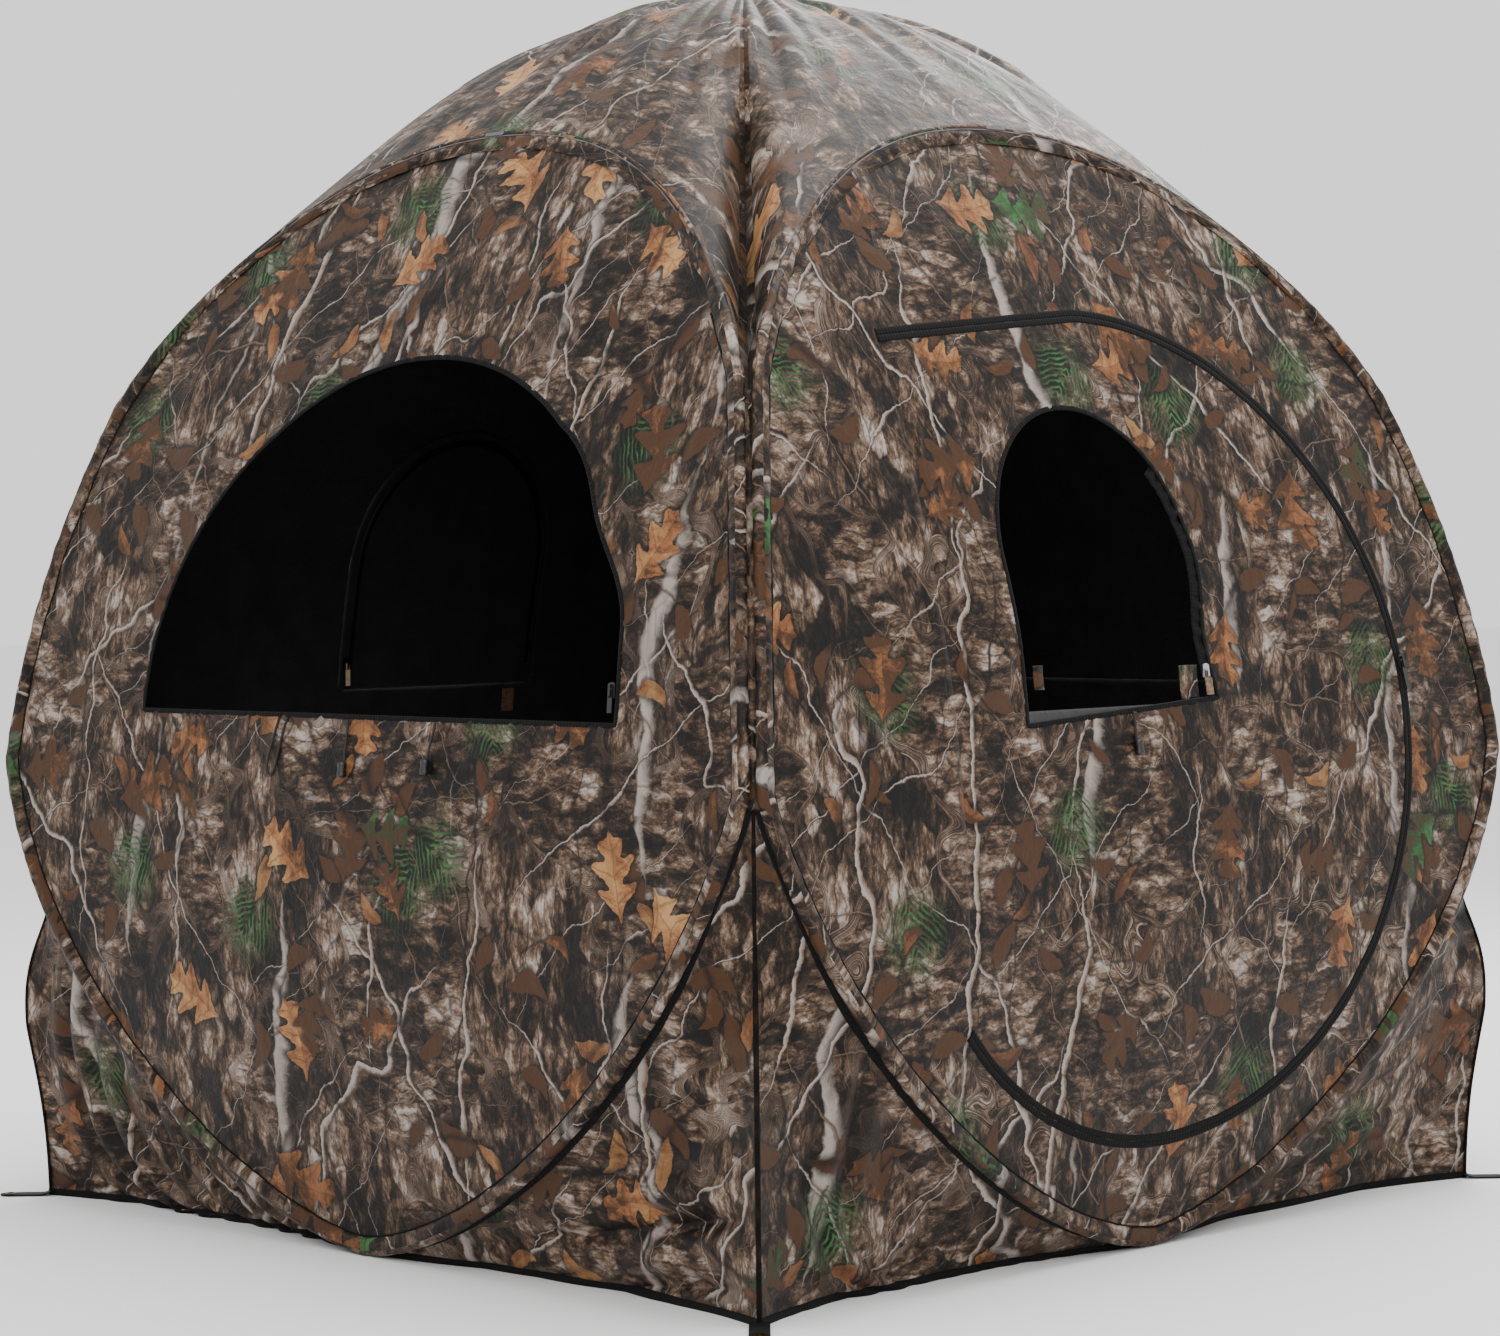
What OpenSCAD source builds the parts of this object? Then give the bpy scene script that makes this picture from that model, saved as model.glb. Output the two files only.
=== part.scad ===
// Pop-up ground blind: four bowed fabric walls on spring-steel hoops, a gored roof,
// corner gussets, a zipped door and windows with drop flaps.
// Origin: centre of the footprint on the ground. The front (door) wall faces -Y, the left wall -X.

/* [Walls] */
// Distance from the centre to the fullest part of a wall
wall_reach = 757; // [740:1:780]
// Radius of a wall's upright bow
bow_r = 2000; // [1950:10:2100]
// Height of the fullest part of a wall
bow_z = 420; // [400:5:440]
// Thickness of the cloth
cloth = 1.5; // [1.2:0.1:1.6]

/* [Hoops] */
// Half the greatest width of a free hoop
hoop_half = 735; // [725:1:745]
// Height at which a hoop is widest
hoop_mid = 650; // [630:5:670]
// Height of a hoop's top
hoop_top = 1455; // [1430:5:1470]
// Height of a hoop's lowest point above the ground
hoop_low = 9; // [9:0.5:12]
// Width of the flat steel band
band_w = 6; // [5:0.5:7]
// Thickness of the flat steel band
band_t = 2; // [1.5:0.1:2.4]
// Half the thickness of a hoop sleeve
sleeve_half = 8; // [7:0.5:8]

/* [Roof and foot] */
// Height of the roof's peak
peak_z = 1676; // [1640:1:1700]
// How far the roof sinks at the corner seams
corner_dip = 90; // [60:5:100]
// Distance of a corner seam from the centre, at the ground
corner_reach = 1000; // [990:1:1010]
// How much further out the corner seam stands half way up
corner_belly = 44; // [40:1:46]
// Height of the hem binding
hem_h = 9; // [7:0.5:10]

/* [Door] */
// Radius of the curved door zip
door_r = 530; // [520:1:535]
// Height of the centre of the door zip's curve
door_z = 670; // [660:1:680]
// Distance of the door's hinge line from the middle
door_hinge = 390; // [380:1:400]
// Width of one side of a zip tape
tape_w = 7; // [5:0.5:8]

/* [Windows] */
// Half width of the large windows
big_half = 468; // [440:1:475]
// Rise of the large windows above the sill
big_rise = 456; // [430:1:460]
// Half width of the small arched windows
small_half = 185; // [170:1:195]
// Height of the straight sides of a small window
small_side = 195; // [180:1:220]
// Height of every window sill
sill_z = 695; // [690:1:705]
// How far a flap overlaps the wall round its window
overlap = 14; // [10:1:16]
// Angle that the open flaps hang at
flap_drop = 160; // [150:1:165]

/* [Stake loops] */
// Radius of the hole in a stake eyelet
eyelet_r = 5; // [4:0.5:6]
// Width of the loop webbing
strap_w = 25; // [20:1:30]

/* [Hidden] */
SIDES = ["front", "right", "back", "left"];
CORNERS = ["front_left", "front_right", "back_right", "back_left"];

$fn = 48;
bow_fn = 1440;
steps = 5;
low_power = 1.55;
high_power = 2.1;
gap = 0.5;
corner_gap = 2 * sleeve_half + 1;
channel_w = band_w + 2;
channel_t = band_t + 2;
tape_t = 1;
flap_t = 1.2;
flap_in = cloth + 0.9;
door_start = -90 - asin(door_hinge / door_r);
door_top_left = [-door_hinge, door_z + 492];
door_window_x = -75;
back_window_x = -42;
left_window_x = 39;
right_window_x = -39;
camo = [0.38, 0.34, 0.28];
black = [0.06, 0.06, 0.06];
steel = [0.55, 0.56, 0.58];

// How far a wall has leaned in at height z, its distance from the centre there, and its lean
function lean_in(z) = bow_r - sqrt(bow_r * bow_r - (z - bow_z) * (z - bow_z));
function wall_y(z) = wall_reach - lean_in(z);
function tilt(z) = asin((z - bow_z) / bow_r);
function power(x, n) = sign(x) * pow(abs(x), 2 / n);

// The hoop's outline in the wall, squeezed where the neighbouring hoops press together
function hoop_z(a) = sin(a) < 0
    ? hoop_mid + (hoop_mid - hoop_low) * power(sin(a), low_power)
    : hoop_mid + (hoop_top - hoop_mid) * power(sin(a), high_power);
function hoop_x(a) = power(cos(a), sin(a) < 0 ? low_power : high_power) * hoop_half;
function squeezed(x, z) = sign(x) * min(abs(x), wall_y(z) - corner_gap);
function hoop_point(a) = [squeezed(hoop_x(a), hoop_z(a)), hoop_z(a)];
hoop = [for (a = [-90:steps:265]) hoop_point(a)];

// A path moved sideways by k: outwards for a closed path that runs anticlockwise
function ahead(p, i, closed) = closed ? p[(i + 1) % len(p)] : p[min(i + 1, len(p) - 1)];
function behind(p, i, closed) = closed ? p[(i + len(p) - 1) % len(p)] : p[max(i - 1, 0)];
function beside(p, k, closed = true) = [for (i = [0:len(p) - 1])
    let (d = ahead(p, i, closed) - behind(p, i, closed)) p[i] + k * [d[1], -d[0]] / norm(d)];
function backwards(p) = [for (i = [len(p) - 1:-1:0]) p[i]];

// Window and door outlines, as paths that run from the sill's right end round to its left end
function big_arch(x) = [for (a = [0:steps:180]) [x + big_half * cos(a), sill_z + big_rise * sin(a)]];
function small_arch(x) = concat([[x + small_half, sill_z]],
    [for (a = [0:2 * steps:180]) [x, sill_z + small_side] + small_half * [cos(a), sin(a)]],
    [[x - small_half, sill_z]]);
function door_arc(r) = [for (a = [door_start:steps:90]) [r * cos(a), door_z + r * sin(a)]];
door_path = concat(door_arc(door_r), [door_top_left]);

// A shell that follows the bow, between two distances out from the wall's outer face
module bowed(from, to) {
    translate([0, bow_r - wall_reach, bow_z])
        rotate([0, 90, 0])
            difference() {
                cylinder(r = bow_r + to, h = 2 * wall_reach, center = true, $fn = bow_fn);
                cylinder(r = bow_r + from, h = 3 * wall_reach, center = true, $fn = bow_fn);
            }
}

// A flat outline, seen from outside the front wall, cut from that shell
module cut_from_bow(from, to) {
    intersection() {
        bowed(from, to);
        translate([0, -wall_reach / 2, 0]) rotate([90, 0, 0]) linear_extrude(wall_reach) children();
    }
}

module ring(path, inner, outer) {
    difference() {
        polygon(beside(path, outer));
        polygon(beside(path, inner));
    }
}

module band(path, inner, outer) {
    polygon(concat(beside(path, outer, false), backwards(beside(path, inner, false))));
}

module on_side(side) {
    rotate([0, 0, 90 * side]) children();
}

// A place on the outer face of the front wall, with -Y pointing out of the cloth
module on_wall(x, z, out = 0) {
    translate([x, -wall_y(z), z]) rotate([-tilt(z), 0, 0]) translate([0, -out, 0]) children();
}

module wall(opening) {
    color(camo) cut_from_bow(-cloth, 0) difference() {
        polygon(beside(hoop, -sleeve_half));
        if (len(opening) > 0) polygon(opening);
    }
}

module steel_hoop() {
    color(steel) cut_from_bow(-band_t / 2, band_t / 2) ring(hoop, -band_w / 2, band_w / 2);
}

module hoop_sleeve() {
    color(camo) difference() {
        cut_from_bow(-sleeve_half, sleeve_half) ring(hoop, -sleeve_half, sleeve_half);
        cut_from_bow(-channel_t / 2, channel_t / 2) ring(hoop, -channel_w / 2, channel_w / 2);
    }
}

// A crimped splice in the sleeve's channel: a plate on each face of the band at the top of a hoop
splice = [36, 0.9, band_w - 0.4];
splice_gap = 0.05;
module ferrule() {
    color(steel) for (way = [-1, 1])
        on_wall(0, hoop_top, way * (band_t / 2 + splice[1] / 2 + splice_gap)) cube(splice, center = true);
}

// Roof: each gore rises from a hoop's top arc to the peak and meets its neighbours on the diagonals
touch_top = 30;
gore_columns = 16;
gore_rows = 8;
gore_start = 0.03;
dip_end = 0.55;
function gore_foot(u) = let (a = 90 - u * (90 - touch_top), p = hoop_point(a), y = wall_y(p[1]))
    abs(u) == 1 ? [sign(u) * (abs(p[0]) + y) / 2, -(abs(p[0]) + y) / 2, p[1]] : [p[0], -y, p[1]];
function gore_point(u, t) = let (f = gore_foot(u), rise = peak_z - f[2])
    [f[0] * (1 - t), f[1] * (1 - t),
     f[2] + rise * (2 * t - t * t) - corner_dip * pow(abs(u), 4) * sin(180 * min(1, t / dip_end))];
function gore_t(j) = gore_start + (1 - gore_start) * j / gore_rows;
function gore_grid(drop) = [for (j = [0:gore_rows - 1], i = [0:gore_columns])
    gore_point(2 * i / gore_columns - 1, gore_t(j)) - [0, 0, drop]];

module roof_gore() {
    n = gore_columns + 1;
    m = gore_rows * n;
    tip = 2 * m;
    last = m - n;
    color(camo) polyhedron(
        points = concat(gore_grid(0), gore_grid(2 * cloth), [[0, 0, peak_z], [0, 0, peak_z - 2 * cloth]]),
        faces = concat(
            [for (j = [0:gore_rows - 2], i = [0:n - 2]) [j * n + i, (j + 1) * n + i, j * n + i + 1]],
            [for (j = [0:gore_rows - 2], i = [0:n - 2])
                [j * n + i + 1, (j + 1) * n + i, (j + 1) * n + i + 1]],
            [for (i = [0:n - 2]) [last + i, tip, last + i + 1]],
            [for (j = [0:gore_rows - 2], i = [0:n - 2])
                [m + j * n + i, m + j * n + i + 1, m + (j + 1) * n + i]],
            [for (j = [0:gore_rows - 2], i = [0:n - 2])
                [m + j * n + i + 1, m + (j + 1) * n + i + 1, m + (j + 1) * n + i]],
            [for (i = [0:n - 2]) [m + last + i, m + last + i + 1, tip + 1]],
            [for (i = [0:n - 2]) [i, i + 1, m + i + 1]],
            [for (i = [0:n - 2]) [i, m + i + 1, m + i]],
            [for (j = [0:gore_rows - 2]) [j * n, m + j * n, m + (j + 1) * n]],
            [for (j = [0:gore_rows - 2]) [j * n, m + (j + 1) * n, (j + 1) * n]],
            [for (j = [1:gore_rows - 1]) [j * n - 1, (j + 1) * n - 1, m + (j + 1) * n - 1]],
            [for (j = [1:gore_rows - 1]) [j * n - 1, m + (j + 1) * n - 1, m + j * n - 1]],
            [[last, m + last, tip + 1], [last, tip + 1, tip]],
            [[last + n - 1, tip, tip + 1], [last + n - 1, tip + 1, m + last + n - 1]]));
}

// Corner gusset, drawn for the front right corner: rows from the ground up to where the hoops touch
gusset_rows = 18;
seam_gap = 3.5;
outer_hoop = beside(hoop, sleeve_half + seam_gap);
gusset_columns = [0, 0.4, 0.75, 1];
belly_z = 480;
tuck = 8;
tuck_z = 240;
function corner_seam(z) = corner_reach + corner_belly * sin(90 * min(1, z / belly_z))
    - tuck * sin(180 * min(1, z / tuck_z));
function seam_point(z) = [corner_seam(z), -corner_seam(z)] / sqrt(2);
function gusset_foot(j) = let (p = outer_hoop[j]) [p[0], max(0, p[1])];
function gusset_half(j, k) = let (p = gusset_foot(j), s = seam_point(p[1]))
    [p[0] * (1 - k) + s[0] * k, -wall_y(p[1]) * (1 - k) + s[1] * k];
function gusset_point(j, c) = let (n = len(gusset_columns), z = gusset_foot(j)[1])
    c < n ? concat(gusset_half(j, gusset_columns[c]), z)
          : let (q = gusset_half(j, gusset_columns[2 * n - 2 - c])) [-q[1], -q[0], z];
function gusset_grid(inward) = [for (j = [0:gusset_rows - 1], c = [0:2 * len(gusset_columns) - 2])
    let (q = gusset_point(j, c), f = 1 - inward / norm([q[0], q[1]])) [q[0] * f, q[1] * f, q[2]]];

module sheet_solid(outer, inner, n) {
    m = len(outer);
    rows = m / n;
    color(camo) polyhedron(points = concat(outer, inner), faces = concat(
        [for (j = [0:rows - 2], i = [0:n - 2]) [j * n + i, (j + 1) * n + i, j * n + i + 1]],
        [for (j = [0:rows - 2], i = [0:n - 2]) [j * n + i + 1, (j + 1) * n + i, (j + 1) * n + i + 1]],
        [for (j = [0:rows - 2], i = [0:n - 2]) [m + j * n + i, m + j * n + i + 1, m + (j + 1) * n + i]],
        [for (j = [0:rows - 2], i = [0:n - 2])
            [m + j * n + i + 1, m + (j + 1) * n + i + 1, m + (j + 1) * n + i]],
        [for (i = [0:n - 2]) [i, i + 1, m + i + 1]],
        [for (i = [0:n - 2]) [i, m + i + 1, m + i]],
        [for (i = [0:n - 2]) let (k = m - n + i) [k, m + k + 1, k + 1]],
        [for (i = [0:n - 2]) let (k = m - n + i) [k, m + k, m + k + 1]],
        [for (j = [0:rows - 2]) [j * n, m + j * n, m + (j + 1) * n]],
        [for (j = [0:rows - 2]) [j * n, m + (j + 1) * n, (j + 1) * n]],
        [for (j = [1:rows - 1]) [j * n - 1, (j + 1) * n - 1, m + (j + 1) * n - 1]],
        [for (j = [1:rows - 1]) [j * n - 1, m + (j + 1) * n - 1, m + j * n - 1]]));
}

module corner_gusset() {
    sheet_solid(gusset_grid(0), gusset_grid(2 * cloth), 2 * len(gusset_columns) - 1);
}

// Binding on the outside of the gusset's foot, from beside one hoop's lowest stretch to the other
binding_start = 170;
binding_t = 1.2;
binding_out = 2;
module hem_binding() {
    foot = wall_y(0) + binding_out;
    c = corner_reach / sqrt(2) + binding_out;
    line = [[binding_start, -foot], [c, -c], [foot, -binding_start]];
    color(black) linear_extrude(hem_h) polygon(concat(line, backwards(beside(line, binding_t, false))));
}

// Webbing loop and eyelet, drawn for the front right corner and lying just above the ground
strap_t = 2;
flange_t = 0.8;
flange_r = 9;
loop_from = corner_reach + 8;
loop_to = corner_reach + 70;
eyelet_at = corner_reach + 56;
eyelet_wall = 1.5;
module in_corner(c) {
    rotate([0, 0, 90 * c - 135]) children();
}

module stake_loop() {
    color(black) translate([0, 0, flange_t]) difference() {
        linear_extrude(strap_t) union() {
            translate([loop_from, -strap_w / 2]) square([loop_to - loop_from - strap_w / 2, strap_w]);
            translate([loop_to - strap_w / 2, 0]) circle(d = strap_w);
        }
        translate([eyelet_at, 0, -1]) cylinder(r = eyelet_r + eyelet_wall, h = strap_t + 2);
    }
}

module stake_eyelet() {
    color("darkgoldenrod") translate([eyelet_at, 0, 0]) difference() {
        union() {
            cylinder(r = flange_r, h = flange_t);
            cylinder(r = eyelet_r + eyelet_wall, h = strap_t + 2 * flange_t);
            translate([0, 0, strap_t + flange_t]) cylinder(r = flange_r, h = flange_t);
        }
        translate([0, 0, -1]) cylinder(r = eyelet_r, h = strap_t + 2 * flange_t + 2);
    }
}

// A cloth tab inside the back wall, below the window
tab = [24, 1, 36];
tab_side = -150;
tab_drop = 45;
tab_in = 1.2;
module hold_tab() {
    color(camo) on_wall(back_window_x + tab_side, sill_z - tab_drop, -cloth - tab_in)
        translate([-tab[0] / 2, 0, 0]) cube(tab);
}

module door_cloth() {
    color(camo) cut_from_bow(-cloth, 0) difference() {
        intersection() {
            polygon(beside(door_path, -gap, false));
            translate([-door_hinge + gap, 0]) square(2 * wall_reach);
        }
        polygon(small_arch(door_window_x));
    }
}

module zip_tape(path, from, to) {
    color(black) cut_from_bow(0, tape_t) band(path, from, to);
}

// A flap inside a window, hinged on its sill, turned by an angle from closed
hinge_in = flap_in + flap_t / 2;
hinge_drop = 2;
module flap(path, turned = 0) {
    y = -wall_y(sill_z) + hinge_in;
    z = sill_z - hinge_drop;
    color(black) translate([0, y, z]) rotate([-turned, 0, 0]) translate([0, -y, -z])
        cut_from_bow(-flap_in - flap_t, -flap_in) intersection() {
            polygon(beside(path, overlap, false));
            translate([-wall_reach, z]) square(2 * wall_reach);
        }
}

// Zip slider: a plate along the track with a bridge on it
slider_w = 12;
slider_l = 20;
slider_t = 3;
bridge = [3, 14, 2.4];
bridge_bar = 1.2;
post_l = 4;
module slider_body() {
    color(black) rotate([90, 0, 0]) {
        linear_extrude(slider_t) intersection() {
            square([slider_w, slider_l], center = true);
            circle(d = slider_l);
        }
        for (end = [-1, 1]) translate([0, end * (bridge[1] - post_l) / 2, slider_t])
            linear_extrude(bridge[2]) square([bridge[0], post_l], center = true);
        translate([0, 0, slider_t + bridge[2]])
            linear_extrude(bridge_bar) square([bridge[0], bridge[1]], center = true);
    }
}

// Pull: a wire frame through the bridge, with a tag that hangs below it
pull_t = 1.4;
pull_out = slider_t + bridge[2] / 2;
arm_x = 2.4;
arm_l = 10;
arm_w = 1;
module pull(length, width, hue, hang = 0) {
    color(hue) translate([0, -pull_out, 0]) rotate([90 - hang, 0, 0]) translate([0, 0, -pull_t / 2])
    linear_extrude(pull_t) {
        square([2 * arm_x + arm_w, pull_t], center = true);
        for (x = [-arm_x, arm_x])
            translate([x, (pull_t - arm_l) / 2]) square([arm_w, arm_l], center = true);
        translate([-width / 2, pull_t / 2 - arm_l - length]) square([width, length]);
    }
}

// Places on the tracks, each with the slider's length along the track and -Y out of the cloth
slider_angle = 7;
slider_up = 3.3;
slider_rise = 40;
beside_edge = 8;
edge_depth = 1.2;
flap_gap = 0.5;
arch_gap = 1.5;
arch_angle = 5;
module at_door_zip() {
    on_wall(door_r * cos(slider_angle), door_z + door_r * sin(slider_angle), slider_up)
        rotate([0, -slider_angle, 0]) children();
}

module at_door_window_zip() {
    on_wall(door_window_x + small_half - beside_edge, sill_z + slider_rise, -edge_depth) children();
}

module at_left_window_zip() {
    on_wall(left_window_x + (big_half - beside_edge) * cos(arch_angle),
        sill_z + (big_rise - beside_edge) * sin(arch_angle), -edge_depth)
        rotate([0, -arch_angle, 0]) children();
}

module at_right_window_zip() {
    on_wall(right_window_x + big_half * cos(arch_angle), sill_z + big_rise * sin(arch_angle),
        -flap_in - flap_t - arch_gap) rotate([0, -arch_angle, 0]) rotate([0, 0, 180]) children();
}

module at_back_window_zip() {
    on_wall(back_window_x + small_half, sill_z + slider_rise, -flap_in - flap_t - flap_gap)
        rotate([0, 0, 180]) children();
}

// A cord swept along a route with eight sides
cord_r = 1.5;
cord_sides = 8;
function along(route, i) = let (d = ahead(route, i, false) - behind(route, i, false)) d / norm(d);
function cord_ring(route, i) = let (v = [0, -1, 0], w = cross(along(route, i), v), side = w / norm(w))
    [for (k = [0:cord_sides - 1]) let (a = 360 * k / cord_sides)
        route[i] + cord_r * (v * cos(a) + side * sin(a))];
module cord(route) {
    n = cord_sides;
    rings = len(route);
    color(black) polyhedron(
        points = [for (i = [0:rings - 1]) each cord_ring(route, i)],
        faces = concat(
            [[for (k = [n - 1:-1:0]) k]],
            [for (i = [0:rings - 2], k = [0:n - 1])
                [i * n + k, i * n + (k + 1) % n, (i + 1) * n + (k + 1) % n, (i + 1) * n + k]],
            [[for (k = [0:n - 1]) (rings - 1) * n + k]]));
}

// Cord routes on the outside of a wall: across the wall, and down from the sill
loop_route = [[-112, 4], [-118, -12], [-122, -28], [-126, -44], [-129, -58], [-133, -68], [-139, -72],
    [-145, -68], [-147, -58], [-144, -44], [-139, -28], [-134, -12], [-129, 4]];
outer_route = [[12, 4], [13, -10], [12, -24], [11, -38], [12, -50]];
inner_route = [[184, 4], [182, -8], [178, -20], [175, -32], [174, -42]];
door_route = [[-58, 4], [-57, -6], [-57, -18], [-58, -32]];
cord_out = cord_r + tape_t + 0.3;
route_z = sill_z - 10;
function on_cloth(route) = [for (p = route) let (z = route_z + p[1]) [p[0], -wall_y(z) - cord_out, z]];

// Barrel toggle hanging from the end of a cord
toggle_r = 6;
toggle_l = 20;
toggle_out = 0.5;
waist = 1;
nose = 1.5;
module toggle(route) {
    end = route[len(route) - 1];
    color(black) on_wall(end[0], route_z + end[1], toggle_r + toggle_out) translate([0, 0, -toggle_l])
        rotate_extrude() polygon([[0, 0], [toggle_r - nose, 0], [toggle_r, 2 * nose],
            [toggle_r - waist, toggle_l / 2], [toggle_r, toggle_l - 2 * nose],
            [toggle_r - nose, toggle_l], [0, toggle_l]]);
}

module window_binding(path) {
    zip_tape(path, 0, tape_w);
}

door_opening = concat(door_path, [[-door_hinge, door_z + door_r * sin(door_start)]]);
OPENINGS = [door_opening, big_arch(right_window_x), small_arch(back_window_x), big_arch(left_window_x)];
FRONT = 0;
RIGHT = 1;
BACK = 2;
LEFT = 3;
cream = [0.8, 0.74, 0.6];

for (i = [0:3]) {
    on_side(i) wall(OPENINGS[i]);
    on_side(i) roof_gore();
    on_side(i) steel_hoop();
    on_side(i) hoop_sleeve();
    on_side(i - 1) corner_gusset();
    on_side(i - 1) hem_binding();
    on_side(i) ferrule();  // hoop_ferrules
    in_corner(i) stake_loop();  // stake_loops
    in_corner(i) stake_eyelet();  // stake_eyelets
}
on_side(FRONT) door_cloth();  // door_panel
on_side(FRONT) zip_tape(door_path, 0, tape_w);  // door_zip_tape_wall
on_side(FRONT) zip_tape(door_path, -gap - tape_w, -gap);  // door_zip_tape_door
on_side(FRONT) at_door_zip() slider_body();  // door_zip_slider
on_side(FRONT) at_door_zip() pull(30, 8, black);  // door_zip_pull
on_side(FRONT) window_binding(small_arch(door_window_x));  // door_window_binding
on_side(FRONT) flap(small_arch(door_window_x), flap_drop);  // door_window_flap
on_side(FRONT) at_door_window_zip() slider_body();  // door_window_slider
on_side(FRONT) at_door_window_zip() pull(22, 14, camo);  // door_window_pull
on_side(LEFT) window_binding(big_arch(left_window_x));  // left_window_binding
on_side(LEFT) flap(big_arch(left_window_x), flap_drop);  // left_window_flap
on_side(LEFT) at_left_window_zip() slider_body();  // left_window_slider
on_side(LEFT) at_left_window_zip() pull(18, 8, black);  // left_window_pull
on_side(RIGHT) window_binding(big_arch(right_window_x));  // right_window_binding
on_side(RIGHT) flap(big_arch(right_window_x));  // right_window_flap
on_side(RIGHT) at_right_window_zip() slider_body();  // right_window_slider
on_side(RIGHT) at_right_window_zip() pull(24, 8, cream, 9);  // right_window_pull
on_side(BACK) window_binding(small_arch(back_window_x));  // back_window_binding
on_side(BACK) flap(small_arch(back_window_x));  // back_window_flap
on_side(BACK) at_back_window_zip() slider_body();  // back_window_slider
on_side(BACK) at_back_window_zip() pull(24, 8, cream, 9);  // back_window_pull
on_side(BACK) hold_tab();  // back_hold_tab
on_side(LEFT) cord(on_cloth(loop_route));  // elastic_loop
on_side(LEFT) cord(on_cloth(outer_route));  // toggle_cord_outer
on_side(LEFT) toggle(outer_route);  // toggle_outer
on_side(LEFT) cord(on_cloth(inner_route));  // toggle_cord_inner
on_side(LEFT) toggle(inner_route);  // toggle_inner
on_side(FRONT) cord(on_cloth(door_route));  // door_toggle_cord
on_side(FRONT) toggle(door_route);  // door_toggle
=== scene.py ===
"""Pop-up ground blind: bowed walls on sprung hoops, a gored roof, zips, flaps, cords and stake loops.

Sides are drawn for the front, which faces -Y, and turned into place a quarter turn at a time.
"""

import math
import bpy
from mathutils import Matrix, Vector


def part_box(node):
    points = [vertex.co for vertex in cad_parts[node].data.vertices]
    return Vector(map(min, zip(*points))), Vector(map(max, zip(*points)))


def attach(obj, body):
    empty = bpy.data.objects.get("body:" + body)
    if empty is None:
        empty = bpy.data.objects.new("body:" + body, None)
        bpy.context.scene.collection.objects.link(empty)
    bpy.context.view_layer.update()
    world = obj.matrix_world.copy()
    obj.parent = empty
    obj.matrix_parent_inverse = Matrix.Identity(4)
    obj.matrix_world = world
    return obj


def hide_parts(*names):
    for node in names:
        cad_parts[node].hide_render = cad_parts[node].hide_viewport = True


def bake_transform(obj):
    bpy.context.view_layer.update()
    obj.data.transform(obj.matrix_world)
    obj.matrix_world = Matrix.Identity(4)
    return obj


bl_info = {
    "name": "Pop-up ground blind",
    "version": (1, 0, 0),
    "blender": (4, 5, 0),
    "location": "3D View > Sidebar > Blind",
    "description": "Builds the cloth, zips and fittings of a pop-up ground blind round its packed frame",
    "category": "Add Mesh",
}

import bpy
import numpy as np
from bpy.props import FloatProperty, FloatVectorProperty, PointerProperty
from mathutils import Matrix, Vector

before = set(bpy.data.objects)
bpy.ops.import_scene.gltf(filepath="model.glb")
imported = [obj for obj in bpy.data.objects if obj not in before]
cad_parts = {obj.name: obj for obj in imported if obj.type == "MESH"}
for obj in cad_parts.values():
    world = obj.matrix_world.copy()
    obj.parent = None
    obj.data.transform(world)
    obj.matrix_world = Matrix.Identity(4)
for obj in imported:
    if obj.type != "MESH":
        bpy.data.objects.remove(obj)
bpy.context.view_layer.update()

SIDES = ("front", "right", "back", "left")
CORNERS = ("front_left", "front_right", "back_right", "back_left")
FRONT, RIGHT, BACK, LEFT = range(4)
MM = 0.001
RIGHT_ANGLE = math.pi / 2
# From the centre to the fullest part of a wall
REACH = -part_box("wall_front")[0].y
# Half the width of a hoop's sleeve, which the wall's cloth stops short of
SLEEVE = 8 * MM
HOOP_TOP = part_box("wall_front")[1].z + SLEEVE
HOOP_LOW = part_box("wall_front")[0].z - SLEEVE
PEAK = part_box("roof_gore_front")[1].z
# Height of the windows' sills, and how far the door's sewn side is from the middle
SILL = 0.695
DOOR_HINGE = 0.390
# Thickness of the black tapes
TAPE_THICK = 0.8 * MM
# Squareness of a hoop's curve below and above its widest part; 2 is an ellipse
CURVE_LOW, CURVE_HIGH = 1.55, 2.1
# Height of the door zip's upper end above the centre of its curve
DOOR_TOP = 0.492
# Where the meshes of a wall and of a window spread out from, the window's as a height above its sill
WALL_MIDDLE, WINDOW_MIDDLE = (0.0, 0.7), 0.16


def linear(code):
    """The linear colour of an sRGB hex value."""
    parts = [int(code[i:i + 2], 16) / 255 for i in (0, 2, 4)]
    return tuple(c / 12.92 if c <= 0.04045 else ((c + 0.055) / 1.055) ** 2.4 for c in parts)


def metres(name, description, default):
    """A size in metres that a user may change."""
    return FloatProperty(name=name, description=description, default=default, unit="LENGTH", precision=4)


def colour(name, description, code):
    """A colour that a user may change, from its sRGB hex value."""
    return FloatVectorProperty(name=name, description=description, default=linear(code), size=3,
                               subtype="COLOR")


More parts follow.
